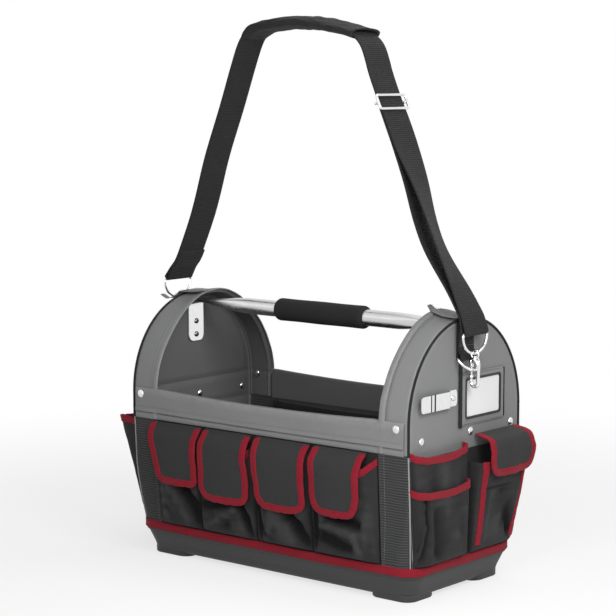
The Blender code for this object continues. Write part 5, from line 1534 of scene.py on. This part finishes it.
def hook_base(side, word):
    tilt = TILTS[word]
    height = RING_BAR.z - RING_HALF * cos(tilt) - RING_WIRE - HOOK_DROPS[word]
    return Vector((side * (RING_BAR.x + RING_HALF * sin(tilt)), STRAP_Y, height))


def ring_bar(side, word):
    return hook_base(side, word) + UP * (RING_RISE + STRAP_RING_HALF)


def rings_and_hooks():
    for side, word in SIDES:
        webbing_loop(side, word)
        tilt = TILTS[word]
        bar = RING_BAR * Vector((side, 1, 1))
        points = [bar + Vector((side * -z * sin(tilt), y, z * cos(tilt))) for y, z in d_outline(RING_HALF)]
        ring = fine_wire(f"d_ring_wire_{word}", points, RING_WIRE, 110, loop=True)
        ride(ring, f"d_ring_{word}", body=f"{word}_d_ring")
        snap_hook(side, word)


def snap_hook(side, word):
    """Swivel hook: cast body, sprung bolt with a thumb knob, turned stem, and the eye it swivels in."""
    base = hook_base(side, word)

    def line(*places):
        return [base + Vector((side * x, 0, z)) for x, z in mm(*places)]

    bend = [(HOOK_HALF * cos(turn), 3.1 - HOOK_HALF * sin(turn)) for turn in arc(8)]
    radii = [*HOOK_TOP_RADII, *(2.3 + 0.2 * sin(turn) for turn in arc(8)), 2.1, 1.7]
    wire = fine_wire(f"hook_bend_{word}", line(*HOOK_TOP, *bend, (-HOOK_HALF, 5.2), (-HOOK_HALF, 7.8)),
                     mm(*radii), 120, sides=16)
    inner, = line((-HOOK_HALF, 0))
    barrel = turned(f"hook_barrel_{word}", BARREL, inner, UP)
    stem = turned(f"hook_stem_{word}", STEM, base, UP)
    join(f"hook_body_{word}", [wire, barrel, stem], f"hook_{word}", body=f"{word}_snap")
    ride(turned(f"bolt_{word}", BOLT, inner, UP), f"hook_bolt_{word}", body=f"{word}_bolt")
    collar = turned(f"eye_collar_{word}", COLLAR, base, UP)
    bow = [(EYE_HALF * cos(turn), EYE_MIDDLE + EYE_HALF * sin(turn)) for turn in arc(10, pi, 0)]
    feet = [(-x, z) for x, z in EYE_FOOT]
    eye = fine_wire(f"eye_bow_{word}", line(*feet, *bow, *reversed(EYE_FOOT)), 0.0014, 60)
    join(f"eye_{word}", [collar, eye], f"swivel_eye_{word}")


# Strap

STRAP_HALF = 0.025
STRAP_SHEET = 0.0022
STRAP_TOP = 0.717
FOLD_BACK = 0.034
STRAP_BOW = 0.012
OUTER_TWIST = radians(-23)
INNER_TWIST = radians(13)
# Shares of the bag's half length, and of the way up from the ring to the strap's top
LEFT_STRAND = ((-1.075, 0.034), (-1.008, 0.083), (-0.930, 0.194), (-0.858, 0.320), (-0.774, 0.491),
               (-0.658, 0.681), (-0.572, 0.831), (-0.518, 0.917), (-0.474, 0.957), (-0.404, 0.983))
PAD_STRETCH = ((-0.301, 0.994), (-0.172, 1.000), (0, 0.997), (0.129, 0.983), (0.237, 0.969))
RIGHT_BEND = ((0.318, 0.953), (0.374, 0.920), (0.409, 0.870), (0.434, 0.826))
DOUBLE_STRETCH = ((0.519, 0.707), (0.609, 0.585), (0.700, 0.468), (0.774, 0.354), (0.843, 0.263),
                  (0.962, 0.146), (1.030, 0.073), (1.066, 0.034))


def strap_place(shares, side):
    low = ring_bar(side, dict(SIDES)[side]).z
    return [Vector((HALF_LENGTH * x, STRAP_Y, low + (STRAP_TOP - low) * z)) for x, z in shares]


def round_bar(bar, turn_from, turn_to, radius):
    return [bar + Vector((radius * cos(t), 0, radius * sin(t))) for t in np.linspace(turn_from, turn_to, 12)]


def shifted(line, offset):
    """A line moved sideways in the strap's plane, to the left of its direction."""
    return [point + Vector((-along.z, 0, along.x)) * offset for point, along in zip(line, directions(line))]


def blended(first, second, start, end):
    """Goes from one line to another between two of their places."""
    return [first[i].lerp(second[i], share_between(i, start, end)) for i in range(start, end)]


def strap_bump(share):
    return np.sin(np.pi * np.minimum(share * 1.12, 1)) ** 2


def strap():
    """Webbing from the left ring over the shoulder to the right ring, round its bar and up to the slider."""
    wrap = STRAP_RING_WIRE + STRAP_SHEET / 2 + 0.0003
    left_bar, right_bar = (ring_bar(side, word) for side, word in SIDES)
    single = strap_place(LEFT_STRAND + PAD_STRETCH, -1) + strap_place(RIGHT_BEND, 1)
    double = strap_place(DOUBLE_STRETCH, 1)
    fine = [Vector(point) for point in smooth_line(single + double, 240)]
    start = min(range(len(fine)), key=lambda i: (fine[i] - double[0]).length)
    fold = min(i for i in range(len(fine)) if (fine[i] - fine[0]).length > FOLD_BACK)
    last = len(fine) - 1
    outer, inner = shifted(fine, STRAP_SHEET / 2 + 0.0002), shifted(fine, -STRAP_SHEET / 2 - 0.0002)

    def side_turn(first, second):
        way = fine[second] - fine[first]
        return atan2(way.x, -way.z)

    turn = side_turn(0, 1)
    route = inner[fold:1:-1] + round_bar(left_bar, turn + pi, turn + 2 * pi, wrap)
    route += outer[2:fold + 3] + blended(outer, fine, fold + 3, fold + 15)
    route += fine[fold + 15:start - 4] + blended(fine, outer, start - 4, start + 4)
    route += outer[start + 4:last - 1]
    turn = side_turn(last - 1, last)
    route += round_bar(right_bar, turn, turn - pi, wrap)
    slack = shifted(fine, -1)
    for i in range(last - 2, start - 3, -1):
        bow = STRAP_BOW * strap_bump((last - i) / (last - start))
        route.append(inner[i] + (slack[i] - fine[i]) * bow)
    line = evened(even_line(route, 900), 6)
    foot = np.argmin(np.linalg.norm(line - np.array(right_bar), axis=1))
    run = running(line[:, None, :])
    run = (run - run[foot]) / (run[-1] - run[foot])
    twist = np.where(run < 0, OUTER_TWIST, INNER_TWIST) * strap_bump(np.abs(run))
    ribbon("strap_tape", line, STRAP_HALF, STRAP_SHEET, "strap_webbing", twist, body="carry_strap")
    ways = shifted(fine, 1)
    reach = Vector((0, STRAP_HALF - STRAP_SEAM_INSET, 0))
    for i in (2, 3, fold - 2, fold - 1):
        point = outer[i] + (ways[i] - fine[i]) * (STRAP_SHEET / 2 + SEAM_RISE)
        sew(np.linspace(point - reach, point + reach, 20), body="carry_strap", thread=DARK_THREAD)


# The pad starts this many of its line's places in from the left
PAD_SKIP = 9
PAD_AROUND = 56
PAD_INSET = 0.0008
PAD_THICK = 0.0050
PAD_BORE = (STRAP_HALF + 0.0010, 0.0016)
MOUTH_RISE = 0.0026
END_SLIM = 0.0060

# How much wider and thicker the pad is where it is full
SWELL = (0.0015, 0.0034)


def pad_wrinkles(total):
    """How far the pad's cloth stands out or in along it and round it, calm at both ends."""
    run = np.linspace(0, 1, total)[:, None]
    around = np.array(circle(PAD_AROUND))
    height = 0.0006 * np.sin(9 * around + 3 * np.sin(5 * run * pi)) + 0.0005 * np.sin(5 * around + 7 * run)
    height = height + 0.0004 * np.sin(run * 60 + 2 * np.sin(3 * around))
    seam = np.exp(-((np.abs(np.cos(around)) - 1) / 0.004) ** 2)
    return (height - 0.0006 * seam) * np.clip(np.minimum(run, 1 - run) * 14, 0.2, 1)


def pad():
    """Padded sleeve: full in its middle, open at both ends, with lengthwise folds in its cloth."""
    places = strap_place(LEFT_STRAND[-3:] + PAD_STRETCH, -1) + strap_place(RIGHT_BEND[:1], 1)
    line = [Vector(point) for point in smooth_line(places, 140)][PAD_SKIP:]
    low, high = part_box("shoulder_pad")
    half = (high.y - low.y) / 2
    frames = [(point, out if out.z > 0 else -out, across)
              for point, out, across in line_frames(line, (0, 1, 0))]
    total = len(line)

    def ring(i, wide, thick, push):
        point, out, across = frames[i]
        section = [(wide * squared(cos(t), 0.78), thick * squared(sin(t), 0.80) + push)
                   for t in circle(PAD_AROUND)]
        return [point + across * x + out * y for x, y in section]

    outer, inner = [], []
    for i in range(total):
        share = i / (total - 1)
        swell = sin(pi * share) ** 0.6
        slim = END_SLIM * (1 - share_between(share, 0, 0.22)) ** 2
        mouth = MOUTH_RISE * share_between(share, 0.88, 1) ** 2
        wide = half - PAD_INSET - SWELL[0] * (1 - swell) - slim
        outer.append(ring(i, wide, PAD_THICK + SWELL[1] * swell + mouth, mouth))
        inner.insert(0, ring(i, PAD_BORE[0], PAD_BORE[1] + 1.6 * mouth, mouth))
    outer, inner = np.array(outer), np.array(inner)
    outward = outer - np.array([[point] for point, _, _ in frames])
    outward /= np.linalg.norm(outward, axis=2, keepdims=True)
    outer = outer + outward * pad_wrinkles(total)[:, :, None]
    rows = [*outer, (outer[-1] + inner[0]) / 2, *inner, (inner[-1] + outer[0]) / 2]
    item = ride(tube("pad_sleeve", rows, PAD_CLOTH, 70, ring=True), "shoulder_pad", body="carry_strap")


SLIDER_SPREAD, SLIDER_CORNER = 0.0092, 0.003
SLIDER_WIRE, SLIDER_LIFT = 0.0019, 0.0032
SLIDER_PLACE = 0.382


def strap_fittings():
    for side, word in SIDES:
        bar = ring_bar(side, word)
        points = [bar + Vector((0, y, z)) for y, z in d_outline(STRAP_RING_HALF)]
        ring = fine_wire(f"strap_ring_wire_{word}", points, STRAP_RING_WIRE, 120, loop=True)
        ride(ring, f"strap_ring_{word}", body="carry_strap")
    low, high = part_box("strap_slider")
    top, under = strap_place((RIGHT_BEND[-1], DOUBLE_STRETCH[1]), 1)
    middle = top.lerp(under, SLIDER_PLACE)
    along = (under - top).normalized()
    out = Vector((-along.z, 0, along.x))
    half = (high.y - low.y) / 2 - 0.0021

    def at(a, y, lift):
        return middle + along * a + Vector((0, y, 0)) + out * lift

    frame_line = []
    for quarter, (sa, sy) in enumerate(CORNERS):
        for turn in arc(5, pi / 2 * quarter, pi / 2 * (quarter + 1)):
            a = sa * (SLIDER_SPREAD - SLIDER_CORNER) + SLIDER_CORNER * cos(turn)
            frame_line.append(at(a, sy * (half - SLIDER_CORNER) + SLIDER_CORNER * sin(turn), SLIDER_LIFT))
    ring = fine_wire("slider_frame", frame_line, SLIDER_WIRE, 120, loop=True)
    drop = -SLIDER_LIFT - 0.0006
    left = [(-half, SLIDER_LIFT * 0.9), (-half + 0.0015, -0.0005), (-half + 0.004, drop)]
    bar_line = left + [(0, drop - 0.0002)] + [(-y, z) for y, z in reversed(left)]
    bar = fine_wire("slider_bar", [at(0, y, z) for y, z in bar_line], SLIDER_WIRE * 0.9, 60)
    join("slider", [ring, bar], "strap_slider", body="slide_buckle")


TAB_SHEET = 0.0018
TAB_HALF, TAB_TIP = 0.019, 0.0090
# Across the arch in shares of 45 mm, then shares of 5 mm over a fold, of 1.5 mm on the crown and of
# 15 mm of curl, and how far the strip is skewed there
TABS = {
    "right": ((-1.189, 1, 0, 0.40, 1), (-1.089, 1, 0, 0.14, 0.85), (-0.940, 1, 0.2, 0, 0.45),
              (-0.489, 0.45, 0, 0, 0), (-0.089, 0, 1, 0, 0), (0.049, 0, 0.8, 0, 0)),
    "left": ((-0.956, 1, 0, 0, 0), (-0.489, 0.45, 0, 0, 0), (-0.089, 0, 1, 0, 0), (0.049, 0, 0.8, 0, 0.1),
             (0.133, 0, 0, -0.25, 0.5), (0.311, 0, 0, -0.55, 0.9), (0.450, 0, 0, -0.62, 1),
             (0.580, 0, 0, -0.52, 1), (0.690, 0, 0, -0.34, 1)),
}


def top_tab(side, word):
    """The coated strip over the crown of an arch, with one end curled up."""
    seat = SPRING_HEIGHT + ARCH_RISE + GAP + TAB_SHEET / 2
    skewed = 0.0080 if side < 0 else TAB_TIP / 2 - TAB_HALF
    line = [(HALF_LENGTH + 0.045 * across, seat + 0.005 * fold + 0.0015 * crown + 0.0150 * curl, skew)
            for across, fold, crown, curl, skew in TABS[word]]
    part = np.linspace(0, 1, 17)
    x, z, skew = smooth_line(line, 60).T[:, :, None]
    front = STRAP_Y - TAB_HALF - skew * skewed
    back = STRAP_Y + TAB_HALF - skew * (2 * TAB_HALF - TAB_TIP + skewed)
    z = z - 0.0008 * (2 * part - 1) ** 2
    points = np.stack(np.broadcast_arrays(side * x, front + (back - front) * part, z), axis=2)
    points[:, :, 2] += 0.0004 * ripples(points, 0.03, 120 + side)
    cloth(f"crown_tab_{word}", points, GREY, TAB_SHEET, (side * HALF_LENGTH, 0, 0), f"top_tab_{word}",
          lining=LINING, offset=0.0)
    for column in (1, -2):
        sew(points[2:34, column], UP * (TAB_SHEET / 2 + SEAM_RISE))


# Places along a band or across an end, how far out and how high
BAND_RIVETS = ((-0.2155, 0.2155), HALF_TOP + 0.0032, 0.222)
END_RIVETS = ((-0.094, 0.010, 0.100), HALF_LENGTH + 0.0002, 0.204)


def all_rivets():
    """Rivets at the ends of the bands and through the ends, with a head inside each."""
    places, out, z = BAND_RIVETS
    band = [(Vector((x, sign * out, z)), Vector((0, sign, 0))) for sign in (-1, 1) for x in places]
    places, out, z = END_RIVETS
    ends = [(Vector((side * out, y, z)), Vector((side, 0, 0))) for side in (-1, 1) for y in places]
    inner = [(place - way * (PANEL_SHEET + 0.0004), -way) for place, way in ends]
    inner += [(place - way * BAND_INNER, -way) for place, way in band]
    rivets("rivet_heads", band + ends + inner)


def plain_nodes():
    for name, finish in (("floor_board", BOARD), ("card", CARD)):
        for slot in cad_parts[name].material_slots:
            slot.material = finish


for side, word in SIDES:
    end_panel(side, word)
    end_skirt(side, word)
    arch_gusset(side, word)
    corner_rib_cloth(side, word)
    edge_cords(side, word)
for sign, word in FACES:
    top_band(sign, word)
    long_wall(sign, word)
tub()
base_tape()
front_pockets()
back_pockets()
inner_pocket()
end_pockets()
handle_bar()
grip()
card_pocket()
clip()
rings_and_hooks()
strap()
pad()
strap_fittings()
for side, word in SIDES:
    top_tab(side, word)
all_rivets()
plain_nodes()
finish_sewing()


# Studio

PALE = (0.88, 0.88, 0.88)
WHITE = (1, 1, 1)

# Name, place, what it looks at, size and power
LAMPS = (("key", (1.20, -0.55, 1.00), (0.08, 0, 0.18), 0.7, 14),
         ("near", (0.48, -0.80, 0.55), (0.15, 0, 0.2), 0.4, 3.6),
         ("fill", (-2.0, -2.4, 1.6), (0, 0, 0.2), 1.8, 3),
         ("top", (0.4, 0.6, 2.4), (0, 0, 0.2), 1.6, 20))


def studio():
    scene = bpy.context.scene
    scene.view_settings.view_transform = "Standard"
    scene.world = bpy.data.worlds.new("studio")
    scene.world.use_nodes = True
    n = Nodes(scene.world.node_tree)
    n.set(n.tree.nodes["Background"], Color=WHITE, Strength=n.between(n.seen(), 0.15, 1.0))


def pale_floor(n):
    """Pale and matt where it is lit, white where it is looked at, less so near the bag."""
    shader = n.shade(PALE, 0.9, Specular_IOR_Level=0.1)
    glow = n.add("ShaderNodeEmission", Color=WHITE, Strength=1.0)
    far = n.add("ShaderNodeVectorMath", operation="LENGTH", Vector=n.place()).outputs["Value"]
    away = n.between(far, 0.72, 1.0, interpolation_type="SMOOTHSTEP", From_Min=0.35, From_Max=1.4)
    blend = n.add("ShaderNodeMixShader")
    for index, value in enumerate((n.times(n.seen(), away), shader, glow)):
        n.feed(value, blend.inputs[index])
    n.set(n.tree.nodes["Material Output"], Surface=blend)


def floor():
    data = bpy.data.meshes.new("floor")
    item = shown("floor", data, finish(pale_floor, "pale floor"))
    change(item, lambda shape: bmesh.ops.create_grid(shape, x_segments=1, y_segments=1, size=4.0))
    item.location = (0, 0, -0.0005)


def lamp(name, place, target, size, power):
    data = bpy.data.lights.new(name, "AREA")
    data.shape = "DISK"
    data.size = size
    data.energy = power
    item = placed(name, data)
    item.location = place
    item.rotation_euler = (Vector(target) - Vector(place)).to_track_quat("-Z", "Y").to_euler()
    item.visible_camera = False


studio()
floor()
for setting in LAMPS:
    lamp(*setting)
